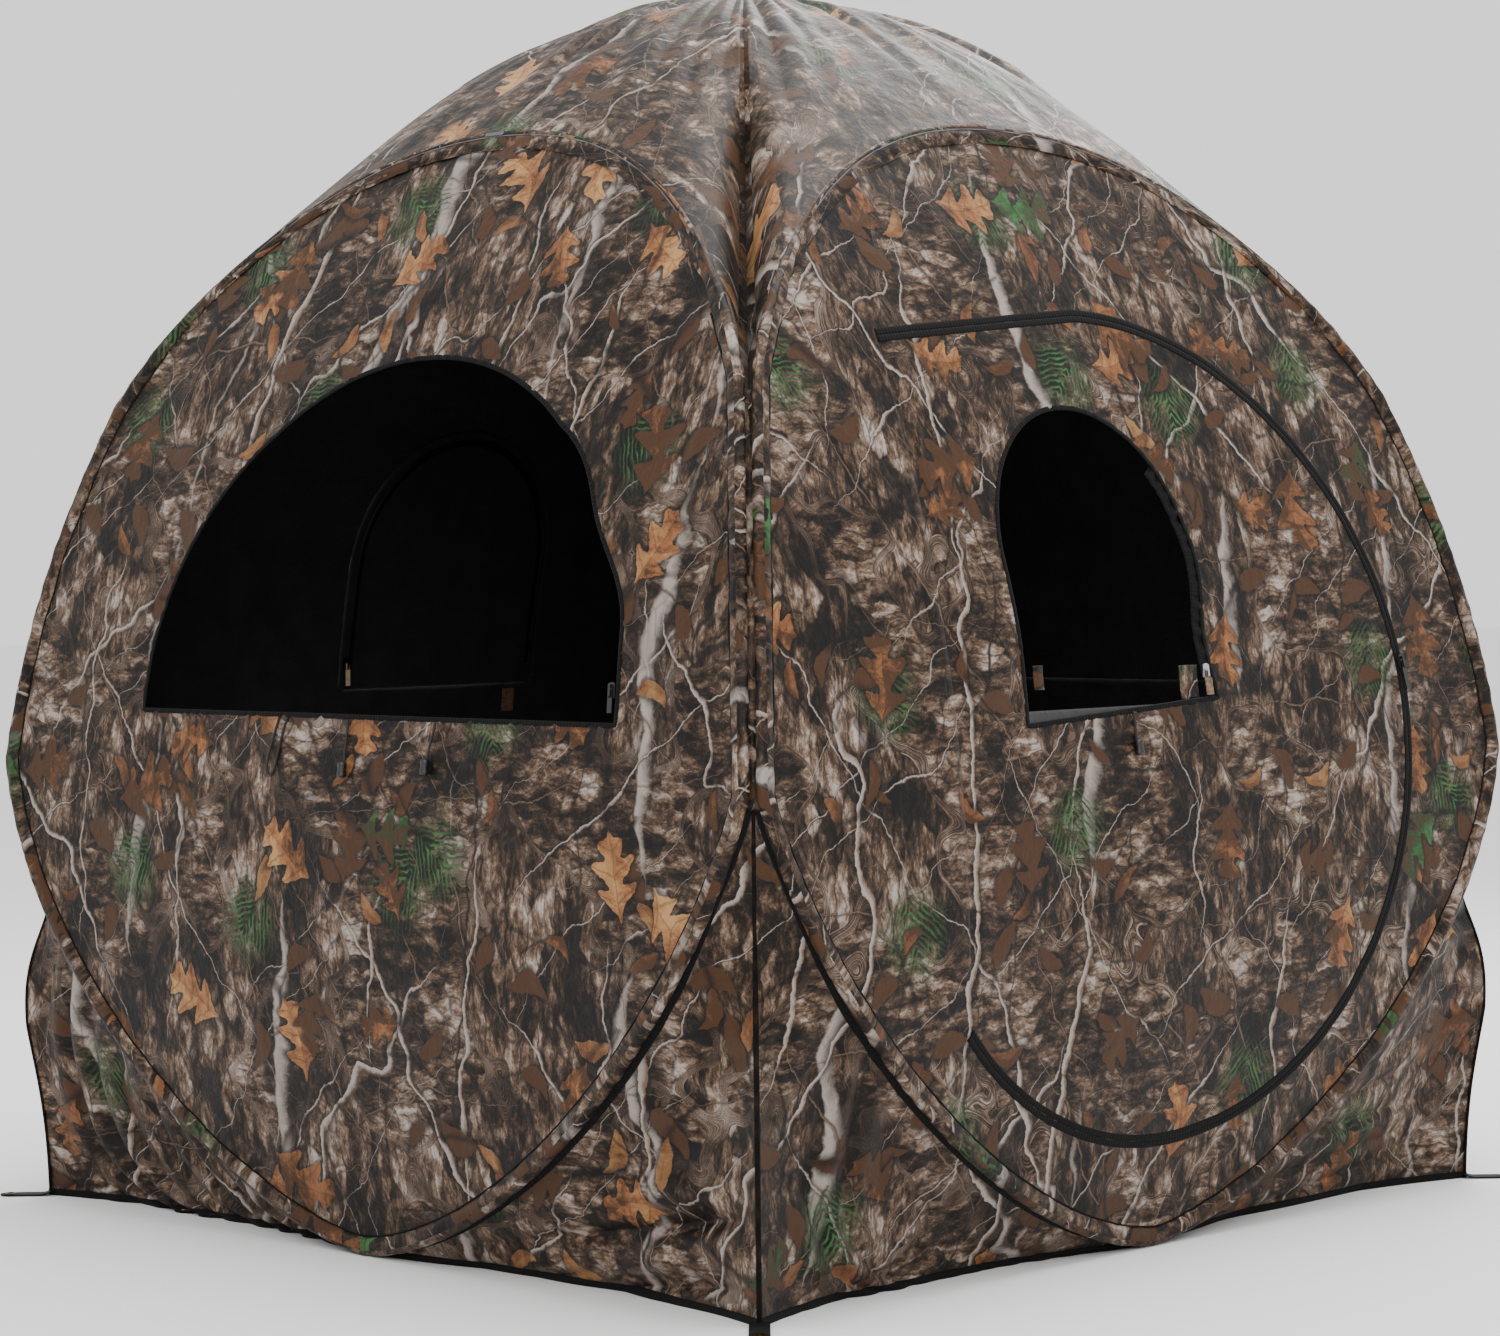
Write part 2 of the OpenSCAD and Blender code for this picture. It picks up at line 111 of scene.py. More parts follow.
class BlindSizes(bpy.types.PropertyGroup):
    """Driving sizes of the blind."""

    bow_radius: metres("Bow radius", "Radius of a wall's upright bow", 2.0)
    bow_height: metres("Bow height", "Height of the fullest part of a wall", 0.42)
    hoop_half: metres("Hoop half width", "Half the greatest width of a free hoop", 0.735)
    hoop_mid: metres("Hoop middle", "Height at which a hoop is widest", 0.65)
    corner_gap: metres("Corner gap", "Room beside a hoop for its neighbour", 0.017)
    corner_reach: metres("Corner reach", "Distance of a corner seam from the centre, at the ground", 1.0)
    corner_belly: metres("Corner belly", "How much further out the corner seam stands half way up", 0.044)
    corner_dip: metres("Corner dip", "How far the roof sinks at its corner seams", 0.09)
    door_radius: metres("Door radius", "Radius of the curved door zip", 0.53)
    door_height: metres("Door height", "Height of the centre of the door zip's curve", 0.67)
    big_half: metres("Large window half width", "Half width of the large windows", 0.468)
    big_rise: metres("Large window rise", "Rise of the large windows above the sill", 0.456)
    small_half: metres("Small window half width", "Half width of the small windows", 0.185)
    small_side: metres("Small window side", "Height of a small window's straight sides", 0.195)
    tape: metres("Tape width", "Width of one side of a zip tape", 0.007)
    cloth: metres("Cloth thickness", "Thickness that the cloth is drawn with", 0.0012)
    mesh_step: metres("Mesh step", "Distance between points of the cloth meshes", 0.009)


class BlindColours(bpy.types.PropertyGroup):
    """Colours of the printed cloth and the fittings."""

    shadow: colour("Shadow", "Deepest ground of the print", "080504")
    bark_dark: colour("Dark bark", "Dark ground of the print", "21170F")
    bark: colour("Bark", "Middle ground of the print", "402F23")
    bark_light: colour("Light bark", "Light ground of the print", "675343")
    lichen: colour("Lichen", "Palest bark and branches", "9C9088")
    leaf_tan: colour("Tan leaf", "Dry leaves", "A37C50")
    leaf_rust: colour("Rust leaf", "Rust-coloured leaves", "7D5030")
    leaf_brown: colour("Brown leaf", "Shaded side of the leaves", "3D2614")
    needle: colour("Needles", "Evergreen sprays", "1F3319")
    green: colour("Green leaf", "Fresh leaves", "2F5F30")
    black: colour("Black", "Coated inside, tapes and fittings", "070707")


class BlindView(bpy.types.PropertyGroup):
    """Where the camera stands."""

    distance: metres("Distance", "Distance of the camera from the centre", 5.5)
    height: metres("Height", "Height of the camera", 0.9)
    lens: FloatProperty(name="Lens", description="Focal length in millimetres", default=93.4)
    roll: FloatProperty(name="Roll", description="Turn of the picture", default=math.radians(0.7),
                        subtype="ANGLE")
    rise: FloatProperty(name="Rise", description="Vertical shift of the lens", default=-0.079)


def sizes():
    """The driving sizes of this scene."""
    return bpy.context.scene.blind_sizes


# ---------------------------------------------------------------- shapes


def lean(z):
    """How far a wall has leaned in at a height."""
    s = sizes()
    return s.bow_radius - np.sqrt(s.bow_radius ** 2 - (z - s.bow_height) ** 2)


def wall_out(z):
    """Distance from the centre to a wall's outer face at a height."""
    return REACH - lean(z)


def bow_arc(z):
    """Length of cloth from the fullest part of a wall up to a height."""
    s = sizes()
    return s.bow_radius * np.arcsin((z - s.bow_height) / s.bow_radius)


def turned(points, side):
    """Points made for the front, turned to another side of the blind."""
    x, y, z = np.moveaxis(points, -1, 0)
    for _ in range(side % 4):
        x, y = -y, x
    return np.stack([x, y, z], -1)


def on_wall(x, z, out, side):
    """Points on a wall, a distance out from its outer face."""
    s = sizes()
    rise = (z - s.bow_height) / s.bow_radius
    flat = np.sqrt(1 - rise ** 2)
    return turned(np.stack([x + 0 * z, -wall_out(z) - out * flat, z + out * rise], -1), side)


def signed_power(x, n):
    """The curve of a superellipse."""
    return np.sign(x) * np.abs(x) ** (2 / n)


def hoop_at(angle):
    """Points x, z of a hoop's outline, squeezed where the neighbouring hoops press together."""
    s = sizes()
    low = np.sin(angle) < 0
    n = np.where(low, CURVE_LOW, CURVE_HIGH)
    lift = np.where(low, s.hoop_mid - HOOP_LOW, HOOP_TOP - s.hoop_mid)
    z = s.hoop_mid + signed_power(np.sin(angle), n) * lift
    limit = wall_out(z) - s.corner_gap
    return np.stack([np.clip(signed_power(np.cos(angle), n) * s.hoop_half, -limit, limit), z], -1)


def hoop_outline():
    """A whole hoop, anticlockwise from its lowest point."""
    return hoop_at(np.linspace(-RIGHT_ANGLE, 3 * RIGHT_ANGLE, 720, endpoint=False))


def big_arch(x):
    """A large window, from the sill's right end round to its left end."""
    s = sizes()
    a = np.linspace(0, math.pi, 73)
    return np.stack([x + s.big_half * np.cos(a), SILL + s.big_rise * np.sin(a)], -1)


def small_arch(x):
    """A small window, from the sill's right end round to its left end."""
    s = sizes()
    a = np.linspace(0, math.pi, 49)
    top = np.stack([x + s.small_half * np.cos(a), SILL + s.small_side + s.small_half * np.sin(a)], -1)
    sides = np.linspace(0, 1, 13)[:, None]
    right = np.array([[x + s.small_half, SILL]]) + sides * [[0, s.small_side]]
    left = np.array([[x - s.small_half, SILL + s.small_side]]) - sides * [[0, s.small_side]]
    return np.vstack([right[:-1], top, left[1:]])


def bump_at(value, centre, width):
    """A smooth hump of height 1."""
    return np.exp(-((value - centre) / width) ** 2)


def door_line():
    """The door zip, from low on the hinge side round to the top of the hinge side."""
    s = sizes()
    start = -RIGHT_ANGLE - math.asin(DOOR_HINGE / s.door_radius)
    a = np.linspace(start, RIGHT_ANGLE, 181)
    arc = np.stack([s.door_radius * np.cos(a), s.door_height + s.door_radius * np.sin(a)], -1)
    return np.vstack([arc, [-DOOR_HINGE, s.door_height + DOOR_TOP]])


def beside(path, shift, closed=True):
    """A path moved sideways: outwards for a closed path that runs anticlockwise."""
    ahead, behind = np.roll(path, -1, 0), np.roll(path, 1, 0)
    if not closed:
        ahead[-1], behind[0] = path[-1], path[0]
    d = ahead - behind
    d = d / np.linalg.norm(d, axis=1, keepdims=True)
    return path + shift * np.stack([d[:, 1], -d[:, 0]], -1)


def divided(path, step, closed=True):
    """A path with every stretch divided into equal steps, so that its corners stay."""
    ends = np.vstack([path, path[:1]]) if closed else path
    made = []
    for a, b in zip(ends[:-1], ends[1:]):
        n = max(1, round(float(np.linalg.norm(b - a)) / step))
        made.append(a + (b - a) * np.linspace(0, 1, n, endpoint=False)[:, None])
    return np.vstack(made if closed else made + [ends[-1:]])


def evenly(path, step, closed=True):
    """A path with points a step apart, and how far along each one is."""
    ends = np.vstack([path, path[:1]]) if closed else path
    along = np.concatenate([[0], np.cumsum(np.linalg.norm(np.diff(ends, axis=0), axis=1))])
    n = max(2, round(along[-1] / step))
    t = np.linspace(0, along[-1], n + 1)
    t = t[:-1] if closed else t
    return np.stack([np.interp(t, along, ends[:, k]) for k in range(ends.shape[1])], -1), t


def corners(path):
    """The points at which a closed path turns sharply."""
    a, b = path - np.roll(path, 1, 0), np.roll(path, -1, 0) - path
    turn = np.abs(np.arctan2(a[:, 0] * b[:, 1] - a[:, 1] * b[:, 0], (a * b).sum(1)))
    return path[turn > 0.5]


def bearing(points, centre):
    """Directions of points from a centre."""
    return np.arctan2(points[:, 1] - centre[1], points[:, 0] - centre[0])


def reach(outline, centre, angles):
    """Distance from a centre to a closed outline in given directions."""
    p = divided(outline, 2 * MM)
    r = np.hypot(p[:, 0] - centre[0], p[:, 1] - centre[1])
    return np.interp(angles, bearing(p, centre), r, period=2 * math.pi)


def ripple(u, v, wave, seed, lie=0.0, spread=math.pi):
    """A smooth uneven ripple between about -1 and 1, wave metres from crest to crest."""
    rng = np.random.default_rng(seed)
    total = 0
    for _ in range(7):
        angle = lie + rng.uniform(-spread, spread)
        k = 2 * math.pi / (wave * rng.uniform(0.7, 1.7))
        total = total + np.sin(k * (u * math.cos(angle) + v * math.sin(angle)) + rng.uniform(0, 6.3))
    return total / 3.2


def creased(u, v, wave, seed, lie=0.0, spread=math.pi):
    """A ripple folded sharply along its troughs, between about -0.5 and 1."""
    return 1.6 * np.abs(ripple(u, v, 2 * wave, seed, lie, spread)) - 0.6


def slack(x, z, side):
    """How far a wall's cloth stands off its even bow: broad slackness, and puckers along the hoop."""
    p = np.stack([np.ravel(x + 0 * z), np.ravel(z + 0 * x)], -1)
    angle = bearing(p, WALL_MIDDLE)
    edge = reach(hoop_outline(), WALL_MIDDLE, angle)
    edge = edge - np.hypot(p[:, 0] - WALL_MIDDLE[0], p[:, 1] - WALL_MIDDLE[1])
    edge = np.clip(edge, 0, None).reshape(np.shape(x + 0 * z))
    broad = 2.0 * MM * ripple(x, z, 0.42, 10 + side) * np.clip(edge / 0.1, 0, 1)
    radial = np.reshape(angle, np.shape(x + 0 * z)) * 0.7
    gathers = 1.5 * MM * creased(radial, edge * 0.15, 0.055, 20 + side) * np.exp(-edge / 0.09)
    fine = 0.4 * MM * ripple(x, z, 0.09, 30 + side)
    return broad + gathers * np.clip(edge / 0.02, 0, 1) + fine


def on_cloth(x, z, side, out=0.0):
    """Points on a wall's cloth as it hangs."""
    return on_wall(x, z, slack(x, z, side) + out, side)


# ---------------------------------------------------------------- meshes


def finish_piece(name, mesh, materials):
    """A smooth mesh object with its materials."""
    for m in materials:
        mesh.materials.append(m)
    mesh.polygons.foreach_set("use_smooth", [True] * len(mesh.polygons))
    mesh.update()
    piece = bpy.data.objects.new(name, mesh)
    bpy.context.scene.collection.objects.link(piece)
    return piece


def grid_piece(name, points, uv, materials, wrap=False, roll=False, cap=False, flip=False):
    """A mesh from a grid of points. wrap joins the columns up, roll the rows, and cap closes row one."""
    rows, columns = points.shape[:2]
    j, i = np.meshgrid(np.arange(rows - (not roll)), np.arange(columns - (not wrap)), indexing="ij")
    around = ((j, i), (j, i + 1), (j + 1, i + 1), (j + 1, i))
    ring = np.stack([np.stack(c, -1) for c in around], 2).reshape(-1, 4, 2)
    places = points.reshape(-1, 3)
    faces = (ring[..., 0] % rows * columns + ring[..., 1] % columns).tolist()
    cloth = uv[ring[..., 0], ring[..., 1]].tolist()
    if cap:
        places = np.vstack([places, places[:columns].mean(0)])
        middle = uv[0, :columns].mean(0).tolist()
        for a in range(columns):
            b = (a + 1) % columns
            faces.append([b, a, rows * columns])
            cloth.append([uv[0, b].tolist(), uv[0, a].tolist(), middle])
    if flip:
        faces, cloth = [f[::-1] for f in faces], [c[::-1] for c in cloth]
    mesh = bpy.data.meshes.new(name)
    mesh.from_pydata(places.tolist(), [], faces)
    mesh.uv_layers.new(name="cloth").data.foreach_set("uv", np.concatenate(cloth).ravel())
    return finish_piece(name, mesh, materials)


def thicken(piece, thickness, offset=-1.0, lining=0):
    """Gives a sheet its thickness. lining is how many slots on the other face's material is."""
    solid = piece.modifiers.new("thickness", "SOLIDIFY")
    solid.thickness, solid.offset = thickness, offset
    solid.material_offset = lining
    return piece


def round_edges(piece, width):
    """Takes the sharpness off an edge."""
    bevel = piece.modifiers.new("rounded edges", "BEVEL")
    bevel.width, bevel.segments, bevel.limit_method = width, 2, "ANGLE"
    return piece


def belong(piece, body, node):
    """Puts a piece on its body in place of a frame part."""
    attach(piece, body)
    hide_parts(*([node] if isinstance(node, str) else node))
    return piece


def patch(inner, outer, centre, step):
    """Rings of points between two closed outlines, or from near the centre outwards if inner is None."""
    angles = bearing(divided(outer, step), centre)
    sharp = corners(outer) if inner is None else np.vstack([corners(inner), corners(outer)])
    kept = bearing(sharp, centre)
    gap = np.abs((angles[:, None] - kept[None] + math.pi) % (2 * math.pi) - math.pi)
    near = gap.min(1) < 0.7 * step if len(kept) else np.zeros(len(angles), bool)
    angles = np.sort(np.concatenate([angles[~near], kept]))
    far = reach(outer, centre, angles)
    near_r = far * 0.03 if inner is None else reach(inner, centre, angles)
    rings = max(2, math.ceil(float((far - near_r).max()) / step))
    r = near_r + (far - near_r) * np.linspace(0, 1, rings + 1)[:, None]
    return centre[0] + r * np.cos(angles), centre[1] + r * np.sin(angles)


def print_uv(x, z, side):
    """Places on the printed cloth in metres. Each side is cut from another stretch of the roll."""
    uv = np.stack([x + 1.9 * side, bow_arc(z) + 0.7 * side], -1)
    return np.concatenate([uv, uv[:, :1]], 1)


def cloth_panel(name, side, inner, outer, centre, materials, out=0.0):
    """A panel of wall cloth between two outlines."""
    x, z = patch(inner, outer, centre, sizes().mesh_step)
    piece = grid_piece(name, on_cloth(x, z, side, out), print_uv(x, z, side), materials,
                       wrap=True, cap=inner is None, flip=True)
    return thicken(piece, sizes().cloth, lining=1)


def laid_strip(name, path, inner, outer, out, side, materials, closed=False, frill=0.0, step=4 * MM):
    """A tape laid on a wall beside a path, with a slight crown, and a frill if it is ruffled."""
    p, along = evenly(path, step, closed)
    shift = np.linspace(inner, outer, 5)
    lines = np.stack([beside(p, k, closed) for k in shift], 1)
    crown = 0.3 * MM * (1 - np.linspace(-1, 1, 5) ** 2)
    wave = frill * ripple(along, 0 * along, 0.013, 77)[:, None] * np.linspace(0.2, 1, 5)
    points = on_cloth(lines[..., 0], lines[..., 1], side, out + crown + wave)
    uv = np.stack(np.broadcast_arrays(along[:, None], shift[None]), -1)
    if closed:
        uv = np.concatenate([uv, uv[:1] + [along[-1] + step, 0]], 0)
    piece = grid_piece(name, points, uv, materials, roll=closed, flip=inner < outer)
    return thicken(piece, TAPE_THICK, offset=1.0)


# ---------------------------------------------------------------- materials


def add(tree, kind, inputs=(), **settings):
    """Adds a node with its settings, and links or sets its inputs."""
    node = tree.nodes.new("ShaderNode" + kind)
    for name, value in settings.items():
        setattr(node, name, value)
    pairs = inputs.items() if isinstance(inputs, dict) else enumerate(inputs)
    for key, value in pairs:
        if isinstance(value, bpy.types.Node):
            value = value.outputs[0]
        if isinstance(value, bpy.types.NodeSocket):
            tree.links.new(value, node.inputs[key])
        elif value is not None:
            node.inputs[key].default_value = value
    return node


def group(name, inputs, outputs):
    """An empty node group: its tree, its input node and its output node."""
    tree = bpy.data.node_groups.new(name, "ShaderNodeTree")
    for label, default in inputs.items():
        kind = "NodeSocketVector" if label == "Vector" else "NodeSocketFloat"
        socket = tree.interface.new_socket(label, in_out="INPUT", socket_type=kind)
        if label != "Vector":
            socket.default_value = default
    for label in outputs:
        tree.interface.new_socket(label, in_out="OUTPUT", socket_type="NodeSocketFloat")
    return tree, tree.nodes.new("NodeGroupInput").outputs, tree.nodes.new("NodeGroupOutput")


def smooth(tree, value, low, high):
    """0 below low, 1 above high, and an even curve between."""
    return add(tree, "MapRange", (value, low, high, 0.0, 1.0), interpolation_type="SMOOTHSTEP")


def leaf_group():
    """Leaves scattered over the cloth, one to a cell. Lobes and Depth make them lobed or plain."""
    given = {"Vector": None, "Cell": 0.1, "Long": 0.4, "Wide": 0.4, "Lobes": 0.0, "Depth": 0.0,
             "Chance": 0.5}
    tree, g, out = group("leaf scatter", given, ("Leaf", "Shade", "Vein", "Tone"))
    scale = add(tree, "Math", (1.0, g["Cell"]), operation="DIVIDE")
    cells = add(tree, "TexVoronoi", {"Vector": g["Vector"], "Scale": scale, "Randomness": 0.85},
                voronoi_dimensions="2D")
    local = add(tree, "VectorMath", (g["Vector"], cells.outputs["Position"]), operation="SUBTRACT")
    unit = add(tree, "VectorMath", {0: local, "Scale": scale}, operation="SCALE")
    chance = add(tree, "SeparateColor", (cells.outputs["Color"],))
    angle = add(tree, "Math", (chance.outputs[0], 2 * math.pi), operation="MULTIPLY")
    leaf = add(tree, "VectorRotate", {"Vector": unit, "Angle": angle}, rotation_type="Z_AXIS")
    place = add(tree, "SeparateXYZ", (leaf,))
    size = add(tree, "MapRange", (chance.outputs[2], 0.0, 1.0, 0.72, 1.1))
    long = add(tree, "Math", (g["Long"], size), operation="MULTIPLY")
    x = add(tree, "Math", (place.outputs[0], long), operation="DIVIDE")
    y = add(tree, "Math", (place.outputs[1], long), operation="DIVIDE")
    bend = add(tree, "Math", (x, x), operation="MULTIPLY")
    curve = add(tree, "Math", (chance.outputs[1], 0.5), operation="SUBTRACT")
    y = add(tree, "Math", (bend, curve, y), operation="MULTIPLY_ADD")
    off = add(tree, "Math", (y,), operation="ABSOLUTE")
    swept = add(tree, "Math", (off, -0.55, x), operation="MULTIPLY_ADD")
    turns = add(tree, "Math", (swept, g["Lobes"]), operation="MULTIPLY")
    wave = add(tree, "Math", (turns,), operation="COSINE")
    notch = add(tree, "Math", (wave, 1.0), operation="SUBTRACT")
    notch = add(tree, "Math", (notch, g["Depth"], 1.0), operation="MULTIPLY_ADD")
    rounded = add(tree, "Math", (bend, -1.0, 1.0), operation="MULTIPLY_ADD", use_clamp=True)
    rounded = add(tree, "Math", (rounded, 0.7), operation="POWER")
    skew = add(tree, "Math", (x, 0.25, 1.0), operation="MULTIPLY_ADD")
    width = add(tree, "Math", (rounded, skew), operation="MULTIPLY")
    width = add(tree, "Math", (width, notch), operation="MULTIPLY")
    width = add(tree, "Math", (width, g["Wide"]), operation="MULTIPLY")
    inside = add(tree, "Math", (width, off), operation="SUBTRACT")
    here = add(tree, "Math", (chance.outputs[1], g["Chance"]), operation="LESS_THAN")
    mask = smooth(tree, inside, 0.0, 0.035)
    soft = smooth(tree, inside, -0.3, 0.02)
    midrib = smooth(tree, off, 0.035, 0.0)
    side_rib = smooth(tree, wave, 0.93, 1.0)
    ribs = add(tree, "Math", (midrib, side_rib), operation="MAXIMUM")
    half = add(tree, "Math", (y, 0.0), operation="GREATER_THAN")
    tone = add(tree, "Math", (half, 0.28, chance.outputs[2]), operation="MULTIPLY_ADD")
    for label, value, when in (("Leaf", mask, here), ("Shade", soft, here), ("Vein", ribs, mask)):
        last = add(tree, "Math", (value, when), operation="MULTIPLY")
        tree.links.new(last.outputs[0], out.inputs[label])
    tree.links.new(tone.outputs[0], out.inputs["Tone"])
    return tree


def limb_group():
    """Long winding branches that lie one way, in rows a Period apart, and fade in and out."""
    given = {"Vector": None, "Angle": 0.0, "Period": 0.2, "Width": 0.004, "Wander": 0.1, "Cover": 0.5,
             "Seed": 0.0}
    tree, g, out = group("branch rows", given, ("Limb", "Shade", "Round"))
    lie = add(tree, "VectorRotate", {"Vector": g["Vector"], "Angle": g["Angle"]}, rotation_type="Z_AXIS")
    shift = add(tree, "CombineXYZ", (g["Seed"], g["Seed"], 0.0))
    place = add(tree, "VectorMath", (lie, shift), operation="ADD")
    part = add(tree, "SeparateXYZ", (place,))
    broad = add(tree, "TexNoise", {"Vector": place, "Scale": 2.6, "Detail": 3.0, "Roughness": 0.62},
                noise_dimensions="2D")
    wander = add(tree, "Math", (broad, 0.5), operation="SUBTRACT")
    wander = add(tree, "Math", (wander, g["Wander"], part.outputs[0]), operation="MULTIPLY_ADD")
    row = add(tree, "Math", (wander, g["Period"]), operation="DIVIDE")
    number = add(tree, "Math", (row,), operation="FLOOR")
    across = add(tree, "Math", (row,), operation="FRACT")
    across = add(tree, "Math", (across, 0.5), operation="SUBTRACT")
    across = add(tree, "Math", (across, g["Period"]), operation="MULTIPLY")
    far = add(tree, "Math", (number, 7.31), operation="MULTIPLY")
    run = add(tree, "Math", (part.outputs[1], 1.7), operation="MULTIPLY")
    spot = add(tree, "CombineXYZ", (far, run, 0.0))
    presence = add(tree, "TexNoise", {"Vector": spot, "Scale": 1.0, "Detail": 1.0}, noise_dimensions="2D")
    bar = add(tree, "Math", (1.0, g["Cover"]), operation="SUBTRACT")
    full = add(tree, "Math", (bar, 0.22), operation="ADD")
    taper = add(tree, "MapRange", (presence, bar, full, 0.0, 1.0))
    width = add(tree, "Math", (g["Width"], taper), operation="MULTIPLY")
    off = add(tree, "Math", (across,), operation="ABSOLUTE")
    inside = add(tree, "Math", (width, off), operation="SUBTRACT")
    share = add(tree, "Math", (inside, g["Width"]), operation="DIVIDE")
    rounded = add(tree, "Math", (across, g["Width"]), operation="DIVIDE")
    limb = smooth(tree, share, 0.0, 0.25)
    shade = add(tree, "Math", (smooth(tree, share, -1.6, 0.1), taper), operation="MULTIPLY")
    for label, value in (("Limb", limb), ("Shade", shade), ("Round", rounded)):
        tree.links.new(value.outputs[0], out.inputs[label])
    return tree


def ramp(tree, value, stops):
    """A run of colours along a value."""
    node = add(tree, "ValToRGB", (value,))
    band = node.color_ramp
    while len(band.elements) < len(stops):
        band.elements.new(0.5)
    for element, (place, shade) in zip(band.elements, stops):
        element.position, element.color = place, (*shade, 1.0)
    return node


def over(tree, ground, paint, share, mode="MIX"):
    """One colour laid over another."""
    node = add(tree, "Mix", {"Factor": share}, data_type="RGBA", blend_type=mode)
    for key, value in ((6, ground), (7, paint)):
        if isinstance(value, bpy.types.Node):
            result = "Result" if value.bl_idname == "ShaderNodeMix" else 0
            tree.links.new(value.outputs[result], node.inputs[key])
        else:
            node.inputs[key].default_value = (*value, 1.0)
    return node


def new_material(name, shine):
    """A material and its shader, whose constant values are set on the shader's own sockets."""
    material = bpy.data.materials.new(name)
    material.use_nodes = True
    tree = material.node_tree
    shader = tree.nodes["Principled BSDF"]
    for key, value in shine.items():
        shader.inputs[key].default_value = value
    return material, tree, shader


def bump(tree, shader, heights, distance):
    """Stands the surface up by a height field."""
    node = add(tree, "Bump", {"Height": heights, "Distance": distance, "Strength": 1.0})
    tree.links.new(node.outputs[0], shader.inputs["Normal"])


# Features to a metre in the print: edges waver every 38 mm, bark gives way to brush every 240 mm and
# patches of tone are 110 mm across. A piece of bark is about 22 mm wide and 53 mm long, and one of
# brush 50 mm wide and 20 mm long
EDGES, ZONES, PATCHES = 26.0, 4.2, 9.0
BARK, BRUSH = (46.0, 19.0, 1.0), (20.0, 50.0, 1.0)
# How far the edges waver, in metres
WAVER = 0.016


